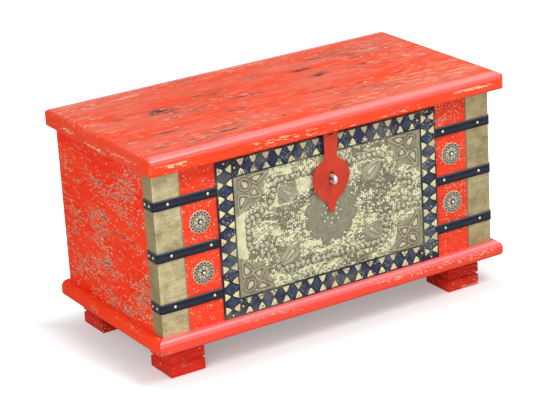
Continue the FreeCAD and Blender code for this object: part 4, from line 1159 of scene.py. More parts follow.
def inlay_blue_finish():
    """Dark blue glaze, mottled towards teal in one piece and purple in another."""
    material, tree, shader, place = new_finish("inlay_blue")
    cloud = noise(tree, place, 120.0, 4.0, 0.65)
    hue = plus(tree, times(tree, attribute(tree, "tint"), 0.7), noise(tree, place, 22.0, 2.0, 0.5))
    cooler = blend_colours(tree, rise(tree, hue, 0.7, 1.05), colour(42, 48, 82), colour(48, 64, 92))
    glaze = blend_colours(tree, rise(tree, hue, 0.52, 0.36), cooler, colour(58, 54, 86))
    tone = over(tree, rise(tree, cloud, 0.44, 0.62), 0.75, glaze, colour(26, 30, 50))
    tone = over(tree, rise(tree, cloud, 0.42, 0.3), 0.4, tone, colour(88, 114, 130))
    into(tree, shader, Base_Color=dusted(tree, place, tone, 0.27), Roughness=0.4, Specular_IOR_Level=0.3,
         Normal=relief_normal(tree, cloud, 0.25 * MM))
    return material


def strip_finish():
    """The nearly black bed that the inlays are set in."""
    material, tree, shader, place = new_finish("strip_bed")
    cloud = noise(tree, place, 130.0, 4.0, 0.65)
    tone = blend_colours(tree, rise(tree, cloud, 0.4, 0.65), colour(34, 38, 56), colour(22, 24, 36))
    into(tree, shader, Base_Color=dusted(tree, place, tone), Roughness=0.5, Specular_IOR_Level=0.3,
         Normal=relief_normal(tree, cloud, 0.3 * MM))
    return material


tile_mesh, diamond_mesh = mosaic_pieces()
paint_piece(strip_finish(), *STRIPS)
finish_piece(tile_mesh, "inlaid_tiles", inlay_tile_finish(), "chest", ("mosaic_tiles",))
finish_piece(diamond_mesh, "inlaid_diamonds", inlay_blue_finish(), "chest")

# %% [markdown]
# ## Pressed sheets
# The panel, its corner ornaments, the round medallion and the rosettes are thin brass, pressed over a die.
# Such a sheet is a fine grid whose points are moved forward by the relief at their place. The relief is put
# together from a few plain forms: domes, drops, and raised lines round them. The grid keeps the relief as a
# value on its points, so the finish can darken the hollows, as dirt and as painted shade, and lighten the
# tops as a painted highlight.

# %% Relief forms
def drop_distance(x, z, drop):
    """How far each place is outside a drop, below 0 inside. A drop is two circles and what joins them."""
    wide, narrow, wide_radius, narrow_radius = drop
    along = np.array(narrow) - np.array(wide)
    length = np.hypot(*along)
    along = along / length
    across_x = x - wide[0]
    across_z = z - wide[1]
    travel = across_x * along[0] + across_z * along[1]
    off = np.abs(across_x * along[1] - across_z * along[0])
    slope = (wide_radius - narrow_radius) / length
    lean = math.sqrt(1 - slope * slope)
    reach = travel * lean - off * slope
    at_wide = np.hypot(travel, off) - wide_radius
    at_narrow = np.hypot(travel - length, off) - narrow_radius
    side = off * lean + travel * slope - wide_radius
    return np.where(reach < 0, at_wide, np.where(reach > length * lean, at_narrow, side))


def line_at(distance, width):
    """1 on a line and 0 away from it."""
    return np.exp(-(distance / width) ** 2)


def domes(x, z, centres, radius, height):
    """Round domes on a list of places."""
    lift = np.zeros_like(x)
    for centre_x, centre_z in centres:
        near = 1 - ((x - centre_x) ** 2 + (z - centre_z) ** 2) / radius ** 2
        lift = np.maximum(lift, height * np.sqrt(np.clip(near, 0, 1)))
    return lift


def along_path(corners, pitch):
    """Places at an even pitch along a line through the corners."""
    places = []
    left_over = 0.0
    for start, end in zip(corners, corners[1:]):
        start = np.array(start)
        run = np.array(end) - start
        length = np.hypot(*run)
        travel = left_over
        while travel < length:
            places.append(tuple(start + run * travel / length))
            travel += pitch
        left_over = travel - length
    return places


print("places along a line of 10, 3 apart:", len(along_path([(0, 0), (10, 0)], 3)))

# %% [markdown]
# ## Pressing a sheet
# Any flat bmesh can be pressed: a square grid for the panel and its corners, a spun disc for round things.
# Its points go forward by the relief, and its rim is then extruded back, so that the sheet is closed.

# %% Sheets
def front_grid(x_low, x_high, z_low, z_high, face, cell):
    """A flat grid that faces the front."""
    bm = bmesh.new()
    width, height = x_high - x_low, z_high - z_low
    bmesh.ops.create_grid(bm, x_segments=round(width / cell), y_segments=round(height / cell), size=0.5)
    bmesh.ops.scale(bm, vec=(width, height, 1), verts=bm.verts)
    bmesh.ops.rotate(bm, cent=(0, 0, 0), matrix=Matrix.Rotation(math.pi / 2, 3, "X"), verts=bm.verts)
    bmesh.ops.translate(bm, vec=((x_low + x_high) / 2, face, (z_low + z_high) / 2), verts=bm.verts)
    return bm


def press(bm, lift_at, values):
    """Moves the points of a flat sheet forward by their relief, and stores values on them for the finish."""
    places = np.array([v.co for v in bm.verts])
    x, z = places[:, 0], places[:, 2]
    lift = lift_at(x, z)
    tables = [(bm.verts.layers.float.new(name), value_at(x, z).tolist()) for name, value_at in values.items()]
    for index, vert in enumerate(bm.verts):
        vert.co.y -= lift[index]
        for layer, table in tables:
            vert[layer] = table[index]


def close_back(bm, back):
    """Gives a sheet its edge and a flat back."""
    made = bmesh.ops.extrude_edge_only(bm, edges=[e for e in bm.edges if e.is_boundary])["geom"]
    for vert in made_points(made):
        vert.co.y = back
    bmesh.ops.edgeloop_fill(bm, edges=[e for e in made_edges(made) if e.is_boundary])


def old_brass(name, light, dark, metal, low, high):
    """Brass darkened in its hollows, as dirt and as painted shade, and lightened on its tops as a painted
    highlight.
    The tone goes from dark to light between two levels.
    """
    material, tree, shader, place = new_finish(name)
    cloud = noise(tree, place, 120.0, 4.0, 0.6)
    level = plus(tree, attribute(tree, "relief"), times(tree, minus(tree, cloud, 0.5), 0.5))
    # Dirt and painted shade in the hollows, painted highlight on the tops.
    tone = blend_colours(tree, rise(tree, level, low, high), dark, light)
    into(tree, shader, Base_Color=tone, Metallic=metal, Roughness=0.42,
         Normal=relief_normal(tree, cloud, 0.2 * MM))
    return material


# %% [markdown]
# ## The embossed panel: its layout
# A row of fat beads runs round a cross-shaped field, and four raised tiles sit in the notches of the cross,
# each with a drop that points at a corner of the panel. The beads run on a path given as shares of the
# panel's half width and half height, mirrored to the left, so that the layout follows the size of the
# panel.

# %% Panel layout
wood_front = sheet_low.y + sheet_thick
panel_low, panel_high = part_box("embossed_panel")
panel_thick = 1.2 * MM
panel_face = wood_front - panel_thick
panel_half = (panel_high.x - panel_low.x) / 2
panel_rise = (panel_high.z - panel_low.z) / 2
panel_middle = (panel_high.z + panel_low.z) / 2
panel_cell = 1.12 * MM
bead_radius = 5.4 * MM
bead_pitch = 12.0 * MM
bead_path_shares = [
    (0.215, 0.765), (0.583, 0.765), (0.59, 0.58), (0.61, 0.47), (0.78, 0.255), (0.87, 0.25),
    (0.87, -0.235), (0.66, -0.25), (0.60, -0.42), (0.578, -0.73), (0.0, -0.735),
]
tile_half_x = 22 * MM
tile_half_z = 19 * MM
tile_corner = 6 * MM
tile_edge = 1.5 * MM
tile_place_x = 0.451 * panel_half
tile_place_z = 0.516 * panel_rise
drop_wide = 5.2 * MM
drop_narrow = 1.2 * MM
drop_inward = (5 * MM, 4 * MM)
drop_outward = (15 * MM, 12 * MM)


def panel_path(shares):
    """Places on the panel, from shares of its half width and half height."""
    return [(x * panel_half, panel_middle + z * panel_rise) for x, z in shares]


def bead_places():
    """Centres of all beads, on both sides."""
    right = along_path(panel_path(bead_path_shares), bead_pitch)
    return right + [(-x, z) for x, z in right if x > bead_radius]


def drop_tiles():
    """For each raised tile: its middle, and its drop as two ends and their radii."""
    for side in (-1, 1):
        for level in (-1, 1):
            x, z = side * tile_place_x, panel_middle + level * tile_place_z
            wide = (x - side * drop_inward[0], z - level * drop_inward[1])
            narrow = (x + side * drop_outward[0], z + level * drop_outward[1])
            yield (x, z), (wide, narrow, drop_wide, drop_narrow)


bead_centres = bead_places()
print("beads:", len(bead_centres))

# %% [markdown]
# ## The embossed panel: its relief
# Beads, tiles and drops are real relief, because they catch the light and show at the panel's edge. A tile
# cuts through the row of beads, so the beads are taken away under it before the higher of both is kept.

# %% Panel relief
bead_height = 3.2 * MM
tile_lift = 0.5 * MM
drop_swell = 2.6 * MM
drop_line_height = 1.5 * MM
drop_line_width = 1.2 * MM
drop_lines = (3.8 * MM, 7.8 * MM)


def on_tiles(x, z):
    """1 on the raised tiles and 0 off them, with round corners and a soft edge."""
    inside = np.zeros_like(x)
    for middle, _ in drop_tiles():
        past_x = np.maximum(np.abs(x - middle[0]) - tile_half_x + tile_corner, 0)
        past_z = np.maximum(np.abs(z - middle[1]) - tile_half_z + tile_corner, 0)
        inside = np.maximum(inside, np.clip((tile_corner - np.hypot(past_x, past_z)) / tile_edge, 0, 1))
    return inside


def drops_lift(x, z):
    """The drops on the tiles, with two raised lines round each."""
    lift = np.zeros_like(x)
    for _, drop in drop_tiles():
        distance = drop_distance(x, z, drop)
        swell = drop_swell * np.sin(np.clip(-distance / (4 * drop_line_width), 0, 1) * math.pi / 2)
        lines = [drop_line_height * line_at(distance - place, drop_line_width) for place in drop_lines]
        lift = np.maximum.reduce([lift, swell] + lines)
    return lift


def panel_lift(x, z):
    """Relief of the panel without its stipple."""
    tiles = on_tiles(x, z)
    beads = domes(x, z, bead_centres, bead_radius, bead_height)
    return np.maximum(beads * (1 - tiles), tiles * (tile_lift + drops_lift(x, z)))


top_of_bead = panel_lift(np.array([bead_centres[0][0]]), np.array([bead_centres[0][1]]))[0]
print("height of a bead, mm:", round(top_of_bead / MM, 2))

# %% [markdown]
# ## The embossed panel: where it is bare or smooth
# A pale wash covers the sheet, but not everywhere, and stipple covers it, except where the sheet stayed
# smooth. Both follow the relief and a few places of their own, so they are worked out here and stored on
# the points.

# %% Panel zones
highest_relief = 3.6 * MM
whole_wash = [((-55, 70), (17, 15), 0.75), ((-96, 35), (26, 8), 0.45)]
wash_edge = (1.4, 0.8)
rubbed_drop = 28 * MM
rubbed_half_x = 34 * MM
rubbed_half_z = 9 * MM
smooth_band_from = -0.88 * panel_half
smooth_band_half = 0.4 * panel_rise


def panel_relief(x, z):
    """The relief from 0 to 1, for the finish."""
    return np.clip(panel_lift(x, z) / highest_relief + 0.12 * on_tiles(x, z), 0, 1)


def panel_whole(x, z):
    """Where the pale wash stayed whole and smooth: two patches left of the hasp, given in millimetres."""
    whole = np.zeros_like(x)
    for (middle_x, middle_z), (reach_x, reach_z), share in whole_wash:
        away = np.hypot((x / MM - middle_x) / reach_x, ((z - panel_middle) / MM - middle_z) / reach_z)
        whole = np.maximum(whole, share * np.clip((wash_edge[0] - away) / wash_edge[1], 0, 1))
    return whole


def panel_bare(x, z):
    """Where the pale wash was rubbed off: round the beads, on the tiles, and under the upper two."""
    beads = 0.6 * np.clip(2 * domes(x, z, bead_centres, 1.5 * bead_radius, 1.0), 0, 1)
    below = np.zeros_like(x)
    for (tile_x, tile_z), _ in drop_tiles():
        if tile_z > panel_middle:
            aside = line_at(x - tile_x, rubbed_half_x)
            below = np.maximum(below, 0.5 * aside * line_at(z - tile_z + rubbed_drop, rubbed_half_z))
    return np.maximum.reduce([beads, on_tiles(x, z), below]) - 0.6 * panel_whole(x, z)


def panel_smooth(x, z):
    """Where there is no stipple: on beads and tiles, in a band at the left, and where the wash is whole."""
    at_left = np.clip((smooth_band_from - x) / (4 * MM), 0, 1)
    at_middle = np.clip((smooth_band_half - np.abs(z - panel_middle)) / (6 * MM), 0, 1)
    beads = np.clip(4 * domes(x, z, bead_centres, bead_radius, 1.0), 0, 1)
    return np.maximum.reduce([at_left * at_middle, 0.7 * beads, on_tiles(x, z), panel_whole(x, z)])


# %% [markdown]
# ## The embossed panel: its finish
# Small stippled dots fill the field. They are finer than the grid, so the finish makes them from Voronoi
# cells: the distance to the middle of a cell gives a round spot, and the cell's own random colour says
# whether it is a pit or a dot. A pit is painted dark as shade and a dot light as a highlight, and the brass
# is painted lighter where the relief is high and darker in its hollows, as dirt and painted shade. The wash
# breaks up where noise, dots and bareness together fall under a level.

# %% Panel finish
stipple_pitch = 4.6 * MM


def stipple(tree, flat, smooth):
    """Masks of the pits and of the dots, one of either to a cell."""
    inputs = {"Vector": flat, "Scale": 1 / stipple_pitch, "Randomness": 0.85}
    cells = node(tree, "TexVoronoi", inputs, voronoi_dimensions="2D", feature="F1").outputs
    own = node(tree, "SeparateColor", {0: cells["Color"]}).outputs[0]
    spot = times(tree, rise(tree, cells["Distance"], 0.6, 0.25), minus(tree, 1.0, smooth))
    return times(tree, spot, rise(tree, own, 0.62, 0.52)), times(tree, spot, rise(tree, own, 0.66, 0.76))


def panel_finish():
    """Old brass with stippled pits and dots painted as shade and highlight, under a broken pale wash."""
    material, tree, shader, place = new_finish("washed_brass")
    apart = axes(tree, place)
    flat = node(tree, "CombineXYZ", {0: apart["X"], 1: apart["Z"]}).outputs[0]
    patch = noise(tree, stretched(tree, flat, (0.35, 1.0, 1.0)), 34.0, 3.0, 0.6)
    smooth = most(tree, rise(tree, patch, 0.6, 0.65), attribute(tree, "smooth"))
    pit, dot = stipple(tree, flat, smooth)
    grit = noise(tree, place, 420.0, 3.0, 0.65)
    zone = noise(tree, stretched(tree, flat, (0.5, 1.0, 1.0)), 26.0, 3.0, 0.6)
    weights = ((zone, 2.8), (grit, 1.5), (smooth, 0.4), (dot, 0.3), (attribute(tree, "bare"), -1.5))
    washed = rise(tree, plus(tree, *[times(tree, mask, weight) for mask, weight in weights]), 1.96, 2.3)
    hollow = blend_colours(tree, rise(tree, grit, 0.4, 0.62), colour(112, 107, 84), colour(166, 160, 132))
    raised = most(tree, attribute(tree, "relief"), times(tree, dot, 0.9))
    # Painted highlight and shade: lighter on high relief and on dots, darker in the hollows, as dirt too.
    brass = blend_colours(tree, rise(tree, raised, 0.1, 0.95), hollow, colour(186, 181, 154))
    brass = over(tree, dot, 0.7, brass, colour(226, 222, 196))
    cloud = noise(tree, place, 60.0, 4.0, 0.65)
    wash = blend_colours(tree, rise(tree, cloud, 0.4, 0.7), colour(220, 216, 172), colour(196, 190, 148))
    # Painted highlight on the dots in the wash, and painted shade in the pits.
    wash = over(tree, dot, 0.8, wash, colour(240, 236, 206))
    tone = over(tree, pit, 0.8, blend_colours(tree, washed, brass, wash), colour(104, 98, 74))
    height = minus(tree, plus(tree, dot, times(tree, grit, 0.2)), pit)
    into(tree, shader, Base_Color=tone, Metallic=ranged(tree, washed, 0.4, 0.0),
         Roughness=ranged(tree, washed, 0.48, 0.6), Normal=relief_normal(tree, height, 0.7 * MM))
    return material


panel_sheet = front_grid(panel_low.x, panel_high.x, panel_low.z, panel_high.z, panel_face, panel_cell)
press(panel_sheet, panel_lift, {"relief": panel_relief, "bare": panel_bare, "smooth": panel_smooth})
close_back(panel_sheet, wood_front)
finish_piece(panel_sheet, "pressed_panel", panel_finish(), "chest", ("embossed_panel",))

# %% [markdown]
# ## Corner ornaments: the plate
# Each corner of the panel carries a plate with a ringed drop and three leaves. A square grid is drawn in so
# that its far edges follow the scalloped outline, which is given as a reach for each direction from the
# corner.

# %% Ornament plate
ornament_reach = 77 * MM
ornament_thick = 0.9 * MM
ornament_cells = 96


def direction(x, z):
    """The direction from the corner, safe at the corner itself."""
    return np.arctan2(z, np.maximum(x, MM / 10))


def ornament_outline(angle):
    """Reach of the plate in a direction from the corner, as a share: long at both edges and at the tip."""
    return 0.97 + 0.055 * np.cos(8 * angle)


def ornament_plate():
    """The flat plate in the quarter right of and above its corner."""
    bm = front_grid(0, ornament_reach, 0, ornament_reach, 0, ornament_reach / ornament_cells)
    for vert in bm.verts:
        angle = direction(vert.co.x, vert.co.z)
        square_reach = 1 / max(math.cos(angle), math.sin(angle))
        vert.co *= float(ornament_outline(angle)) / square_reach
    return bm


plate = ornament_plate()
print("grid of the plate:", len(plate.faces), "faces")

# %% [markdown]
# ## Corner ornaments: the relief
# Grooves and raised lines follow the forms at fixed distances, so all that the relief needs is how far each
# place is from the ring, the drop, the leaves and the plate's own edge. A slight sway makes the lines look
# hand drawn.

# %% Ornament relief
ring_middle = (24 * MM, 19 * MM)
ring_grooves = (9.6 * MM, 14.4 * MM)
ornament_drop = ((25.5, 20.5), (19.5, 13.5), 5.6, 1.4)
leaf_triangles = [
    ((38, 9), (66, 8), (50, 20)),
    ((13, 42), (28, 45), (13, 65)),
    ((43, 30), (53, 46), (35, 42)),
]
corner_softness = 2.6
hand_sway = 0.9 * MM
sway_x_length = 7 * MM
sway_z_length = 8 * MM
line_step = 3.0 * MM
form_ease = 1.6 * MM
form_groove = 1.4 * MM
second_groove = 1.7 * line_step
ring_clearance = 1.5 * MM
edge_line = 1.5 * MM
relief_height = 1.3 * MM


def triangle_distance(x, z, corners):
    """How far each place is outside a triangle with softly rounded corners, below 0 inside."""
    middle_x, middle_z = np.mean(corners, axis=0)
    total = np.zeros_like(x)
    for (from_x, from_z), (to_x, to_z) in zip(corners, corners[1:] + corners[:1]):
        out_x, out_z = to_z - from_z, from_x - to_x
        if out_x * (from_x - middle_x) + out_z * (from_z - middle_z) < 0:
            out_x, out_z = -out_x, -out_z
        side = (out_x * (x / MM - from_x) + out_z * (z / MM - from_z)) / math.hypot(out_x, out_z)
        total += np.exp(side / corner_softness)
    return corner_softness * MM * np.log(total)


def ornament_stamp(x, z):
    """Relief of one ornament over its plate: grooves near 0, the plate just under 0.5, tops near 1."""
    sway_x = hand_sway * np.sin(z / sway_x_length)
    sway_z = hand_sway * np.sin(1 + x / sway_z_length)
    x, z = x + sway_x, z + sway_z
    ring = np.hypot(x - ring_middle[0], z - ring_middle[1])
    drop = drop_distance(x / MM, z / MM, ornament_drop) * MM
    leaf = np.minimum.reduce([triangle_distance(x, z, corners) for corners in leaf_triangles])
    edge = ornament_outline(direction(x, z)) * ornament_reach - np.hypot(x, z)
    off_ring = np.clip((ring - ring_grooves[1] - ring_clearance) / MM, 0, 1)
    groove = np.maximum.reduce([line_at(ring - place, 1 * MM) for place in ring_grooves] + [
        line_at(drop - form_groove, 0.8 * MM),
        off_ring * line_at(leaf - form_groove, 0.9 * MM),
        0.7 * off_ring * line_at(leaf - form_groove - second_groove, 0.9 * MM),
    ])
    ridge = np.maximum.reduce([
        line_at(ring - ring_grooves[1] + line_step, 1.3 * MM),
        line_at(edge - edge_line, 1 * MM),
        off_ring * line_at(leaf - 1.2 * line_step, 1.2 * MM),
    ])
    top = np.sin(np.clip(-np.minimum(drop, leaf) / form_ease, 0, 1) * math.pi / 2)
    return np.clip(0.42 + 0.16 * ridge - 0.34 * groove + 0.5 * top, 0, 1)


def ornament_lift(x, z):
    """The plate and its relief."""
    return ornament_thick + relief_height * ornament_stamp(x, z)


# %% [markdown]
# ## Corner ornaments: four copies
# The plate is pressed and closed once, and its mesh is then mirrored into each corner. A mirrored copy is
# turned inside out, which the piece helper puts right when it recalculates the normals.

# %% Corner ornaments
press(plate, ornament_lift, {"relief": ornament_stamp})
close_back(plate, 0)
ornament = as_mesh(plate, "ornament")


def corner_ornament_piece():
    """The pressed plate in the four corners of the panel."""
    bm = bmesh.new()
    bm.verts.layers.float.new("relief")
    for side, edge in ((-1, panel_low.x), (1, panel_high.x)):
        for level, height in ((-1, panel_low.z), (1, panel_high.z)):
            mirrored = Matrix.Diagonal((-side, 1, -level, 1))
            add_copy(bm, ornament, Matrix.Translation((edge, panel_face, height)) @ mirrored)
    return bm


# The finish reads the stamp: grooves dark as dirt and painted shade, tops light as a painted highlight.
ornament_metal = old_brass("ornament_metal", colour(208, 198, 166), colour(90, 80, 56), 0.4, -0.05, 1.0)
finish_piece(corner_ornament_piece(), "pressed_corner_ornaments", ornament_metal, "chest",
             ("corner_ornaments",))
paint_piece(ornament_metal, "staple_plate")

# %% [markdown]
# ## Medallion
# A round plate with a lobed edge sits behind the hasp. A line of points is spun into a disc, the disc's rim
# is drawn in between the lobes, and raised outlines of the lobes and two rings are pressed into it.

# %% Medallion
medallion_low, medallion_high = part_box("medallion")
medallion_radius = (medallion_high.x - medallion_low.x) / 2
medallion_thick = 1.0 * MM
medallion_lobes = 12
medallion_notch = 0.93
lobe_line_shares = (0.78, 0.87)
lobe_line_height = 0.7 * MM
ring_line_shares = (0.5, 0.62)
ring_line_height = 0.6 * MM


def lobed(turn, lobes, notch, top):
    """A share that goes from its notch value to its top value and back for each lobe."""
    return notch + (top - notch) * np.abs(np.sin(turn * lobes / 2))


def spun_disc(radius, rings, spokes, lobes, notch):
    """A flat disc with a lobed edge that faces the front, round the origin."""
    bm = bmesh.new()
    line = [bm.verts.new((radius * ring / rings, 0, 0)) for ring in range(rings + 1)]
    edges = [bm.edges.new(pair) for pair in zip(line, line[1:])]
    bmesh.ops.spin(bm, geom=line + edges, cent=(0, 0, 0), axis=(0, 1, 0), angle=2 * math.pi, steps=spokes,
                   use_merge=True)
    bmesh.ops.remove_doubles(bm, verts=bm.verts, dist=MM / 100)
    for vert in bm.verts:
        vert.co *= float(lobed(math.atan2(vert.co.z, vert.co.x), lobes, notch, 1.0))
    return bm


def medallion_stamp(x, z):
    """Raised outlines of the lobes and two rings."""
    radius = np.hypot(x, z)
    lobe = medallion_radius * lobed(np.arctan2(z, x), medallion_lobes, *lobe_line_shares)
    rings = [line_at(radius - share * medallion_radius, 1 * MM) for share in ring_line_shares]
    lobe_line = lobe_line_height * line_at(radius - lobe, 1 * MM)
    return np.maximum(lobe_line, ring_line_height * np.maximum(*rings))


def medallion_lift(x, z):
    """The plate and its relief."""
    return medallion_thick + medallion_stamp(x, z)


def medallion_relief(x, z):
    """The relief from 0 to 1, for the finish."""
    return 0.3 + 0.2 * medallion_stamp(x, z) / MM


medallion = spun_disc(medallion_radius, 56, 180, medallion_lobes, medallion_notch)
press(medallion, medallion_lift, {"relief": medallion_relief})
bmesh.ops.translate(medallion, vec=(0, panel_face, panel_middle), verts=medallion.verts)
close_back(medallion, panel_face)
medallion_metal = old_brass("medallion_metal", colour(180, 176, 150), colour(120, 114, 92), 0.45, 0.0, 0.8)
finish_piece(medallion, "pressed_medallion", medallion_metal, "chest", ("medallion",))

# %% [markdown]
# ## Bright studs
# Tiny silvery studs ring the middle of the medallion, sit between its lobes, and lead away from it in three
# short rows. Each is a small flattened sphere, sunk to its middle, and all are one mesh.

# %% Studs
stud_radius = 1.7 * MM
stud_flatness = 0.7
stud_pitch = 8.5 * MM
stud_rings = [
    (22 * MM, 8, 0.0),
    (13 * MM, 7, 0.4),
    (medallion_notch * medallion_radius, medallion_lobes, 0.0),
]
stud_rows = [
    [(0.254, 0.0), (0.4, 0.13)],
    [(0.289, -0.03), (0.469, -0.144)],
    [(-0.277, 0.042), (-0.47, -0.141)],
]


def ring_places(radius, count, start=0.0):
    """Places on a circle round the origin."""
    turns = [start + 2 * math.pi * index / count for index in range(count)]
    return [(radius * math.cos(turn), radius * math.sin(turn)) for turn in turns]


def stud_places():
    """Middles of the studs, and how far forward the sheet lies there."""
    for ring in stud_rings:
        for x, z in ring_places(*ring):
            yield x, panel_middle + z, panel_face - medallion_thick
    for row in stud_rows:
        for x, z in along_path(panel_path(row), stud_pitch):
            yield x, z, panel_face


def stud_piece():
    """All studs as one mesh."""
    bm = bmesh.new()
    for x, z, face in stud_places():
        matrix = Matrix.Translation((x, face, z)) @ Matrix.Diagonal((1, stud_flatness, 1, 1))
        bmesh.ops.create_uvsphere(bm, u_segments=8, v_segments=6, radius=stud_radius, matrix=matrix)
    return bm


stud_metal = bright_metal("stud_metal", colour(238, 236, 218), colour(196, 190, 168), 0.3)
finish_piece(stud_piece(), "bright_studs", stud_metal, "chest")

# %% [markdown]
# ## Rosettes
# A rosette is a small pierced and pressed disc: a scalloped rim with a hole in every lobe, an inner ring of
# holes, petals that rise to the middle, and a bright nail in the hollow there. It is spun once and copied
# to four places. Its relief is worked out from the radius as a share of its own, so that one size scales it
# all.

# %% Rosettes
rosette_names = ["rosette_" + a + "_" + b for a in ("left", "right") for b in ("lower", "upper")]
rosette_radius = 23 * MM
rosette_lobes = 16
rosette_notch = 0.92
rosette_petal_count = 8
rosette_thick = 1.2 * MM
hole_radii = (2.1 * MM, 1.5 * MM)
hole_rim_radii = (4.0 * MM, 2.6 * MM)
hole_floor = 0.15 * MM
hole_rim_height = 0.8 * MM
crown_height = 2.2 * MM
outer_holes = ring_places(0.83 * rosette_radius, rosette_lobes, math.pi / rosette_lobes)
inner_holes = ring_places(0.625 * rosette_radius, rosette_lobes)


def between(radius, low, low_softness, high, high_softness):
    """1 between two radii, with a soft step at each."""
    return np.clip((high - radius) / high_softness, 0, 1) * np.clip((radius - low) / low_softness, 0, 1)


def both_rings(x, z, outer_radius, inner_radius):
    """Domes on the outer and on the inner ring of holes."""
    outer = domes(x, z, outer_holes, outer_radius, 1.0)
    return np.maximum(outer, domes(x, z, inner_holes, inner_radius, 1.0))


def rosette_forms(x, z):
    """The radius as a share, and from 0 to 1 the depth in a hole, the nearness to its rim, and the petals."""
    radius = np.hypot(x, z) / rosette_radius
    pierced = np.clip(2.5 * both_rings(x, z, *hole_radii), 0, 1)
    rimmed = np.clip(1.5 * both_rings(x, z, *hole_rim_radii), 0, 1)
    petal = np.abs(np.cos(np.arctan2(z, x) * rosette_petal_count / 2)) ** 0.4
    return radius, pierced, rimmed, petal * between(radius, 0.2, 0.08, 0.58, 0.05)


def rosette_lift(x, z):
    """Relief of a rosette round the origin."""
    radius, pierced, rimmed, petals = rosette_forms(x, z)
    crown = crown_height * between(radius, 0.12, 0.14, 0.7, 0.35)
    lift = rosette_thick + np.maximum(crown * (0.6 + 0.4 * petals), hole_rim_height * rimmed)
    return lift * (1 - pierced) + hole_floor * pierced


def rosette_relief(x, z):
    """The relief from 0 to 1, for the finish: rims and petals are bright as a painted highlight, and grooves,
    holes and middle dark as dirt and painted shade.
    """
    radius, pierced, rimmed, petals = rosette_forms(x, z)
    edge = 0.8 * np.clip((radius - 0.89) / 0.04, 0, 1)
    ground = np.where(radius > 0.56, 0.42, 0.16)
    bright = np.maximum.reduce([0.72 * petals, 0.62 * rimmed, edge, ground])
    return np.clip(bright - 1.1 * pierced, 0, 1)


# %% [markdown]
# ## Rosettes: four copies
# The disc is pressed and closed once. Each rosette of the frame gives the place of a copy, which replaces
# it.

# %% Four rosettes
rosette_sheet = spun_disc(rosette_radius, 42, 160, rosette_lobes, rosette_notch)
press(rosette_sheet, rosette_lift, {"relief": rosette_relief})
close_back(rosette_sheet, 0)
rosette_mesh = as_mesh(rosette_sheet, "rosette")
rosette_metal = old_brass("rosette_metal", colour(214, 202, 178), colour(66, 56, 44), 0.35, 0.0, 1.0)
for name in rosette_names:
    low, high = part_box(name)
    rosette = bmesh.new()
    rosette.from_mesh(rosette_mesh)
    middle = ((low.x + high.x) / 2, high.y, (low.z + high.z) / 2)
    bmesh.ops.translate(rosette, vec=middle, verts=rosette.verts)
    finish_piece(rosette, "pressed_" + name, rosette_metal, "chest", (name,))

# %% [markdown]
# ## Floor
# The floor is a plain pale sheet. A white floor would need more light than the chest can bear, so the
# camera also sees a glow on it, which is full further away and faint in a box round the chest, where it
# leaves a painted shadow that deepens the real one. No light comes from that glow.

# %% Floor
floor_size = 14.0
floor_tone = (0.71, 0.77, 0.77, 1)
white = (1, 1, 1, 1)
shadow_half_x = 0.40
shadow_half_y = 0.20
shadow_from = -0.02
shadow_to = 0.14
shadow_glow = 0.28


def floor_finish():
    """A matt floor that keeps the shadow of the chest, with a glow that only the camera sees, faint round
    the chest as a painted shadow.
    """
    material = bpy.data.materials.new("floor_white")
    material.use_nodes = True
    tree = material.node_tree
    tree.nodes.clear()
    apart = axes(tree, node(tree, "TexCoord").outputs["Object"])
    past_x = minus(tree, unsigned(tree, apart["X"]), shadow_half_x)
    past_y = minus(tree, unsigned(tree, apart["Y"]), shadow_half_y)
    # Painted shadow: the glow is faint in a box round the chest.
    outside = rise(tree, most(tree, past_x, past_y), shadow_from, shadow_to)
    glow = node(tree, "Emission", {"Color": white, "Strength": ranged(tree, outside, shadow_glow, 1.0)})
    none = node(tree, "Emission", {"Color": white, "Strength": 0.0})
    seen = node(tree, "LightPath").outputs["Is Camera Ray"]
    only_seen = node(tree, "MixShader", {0: seen, 1: none.outputs[0], 2: glow.outputs[0]})
    matt = node(tree, "BsdfDiffuse", {"Color": floor_tone})
    both = node(tree, "AddShader", {0: matt.outputs[0], 1: only_seen.outputs[0]})
    node(tree, "OutputMaterial", {"Surface": both.outputs[0]})
    return material


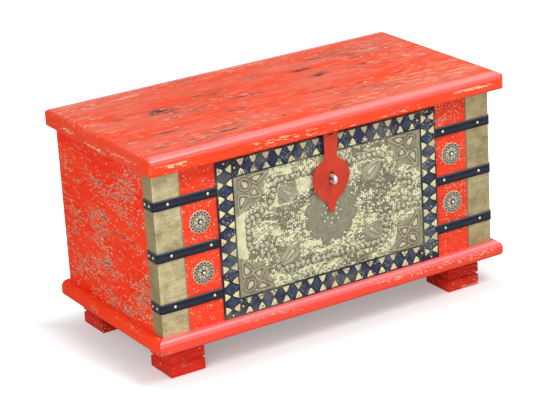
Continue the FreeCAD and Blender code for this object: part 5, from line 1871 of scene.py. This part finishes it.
def make_floor():
    """One flat square at z = 0."""
    bm = bmesh.new()
    bmesh.ops.create_grid(bm, x_segments=2, y_segments=2, size=floor_size / 2)
    mesh = as_mesh(bm, "floor")
    mesh.materials.append(floor_finish())
    floor = bpy.data.objects.new("floor", mesh)
    bpy.context.scene.collection.objects.link(floor)


make_floor()
print("floor:", floor_size, "m square")

# %% [markdown]
# ## Light and background
# A soft lamp high in front of the chest gives it light and shade, and a broad lamp from the camera's side
# keeps its left side even. A third lamp hangs above. Only gloss sees it, so it gives the rounded edges their
# long shine and leaves matt surfaces as they are. The camera sees pure white behind, and so do gloss and
# glass, while the light that reaches the chest from all round is only moderate.

# %% Light and background
def make_lamp(name, place, target, size, power):
    """A soft rectangular lamp that points at a target."""
    data = bpy.data.lights.new(name, "AREA")
    data.shape = "RECTANGLE"
    data.size, data.size_y = size
    data.energy = power
    lamp = bpy.data.objects.new(name, data)
    lamp.location = place
    lamp.rotation_mode = "QUATERNION"
    lamp.rotation_quaternion = (Vector(target) - Vector(place)).to_track_quat("-Z", "Y")
    bpy.context.scene.collection.objects.link(lamp)
    print(name, "of", power, "W at", place)
    return lamp


def make_world(strength):
    """White to the camera, to gloss and to glass, and a moderate even light to all else."""
    world = bpy.data.worlds.new("studio")
    world.use_nodes = True
    bpy.context.scene.world = world
    tree = world.node_tree
    tree.nodes.clear()
    rays = node(tree, "LightPath").outputs
    seen = most(tree, rays["Is Camera Ray"], rays["Is Glossy Ray"], rays["Is Transmission Ray"])
    light = node(tree, "Background", {"Color": white, "Strength": ranged(tree, seen, strength, 1.0)})
    node(tree, "OutputWorld", {"Surface": light.outputs[0]})


make_lamp("key_lamp", place=(0.5, -1.7, 2.6), target=(0, 0, 0.2), size=(1.0, 1.0), power=42)
make_lamp("side_lamp", place=(-2.4, -2.1, 1.3), target=(0, 0, 0.2), size=(2.0, 2.0), power=48)
edge_lamp = make_lamp("edge_lamp", place=(1.35, -0.35, 2.5), target=(0, 0, 0.3), size=(3.2, 2.2), power=64)
edge_lamp.visible_diffuse = False
make_world(0.48)
bpy.context.scene.view_settings.view_transform = "Standard"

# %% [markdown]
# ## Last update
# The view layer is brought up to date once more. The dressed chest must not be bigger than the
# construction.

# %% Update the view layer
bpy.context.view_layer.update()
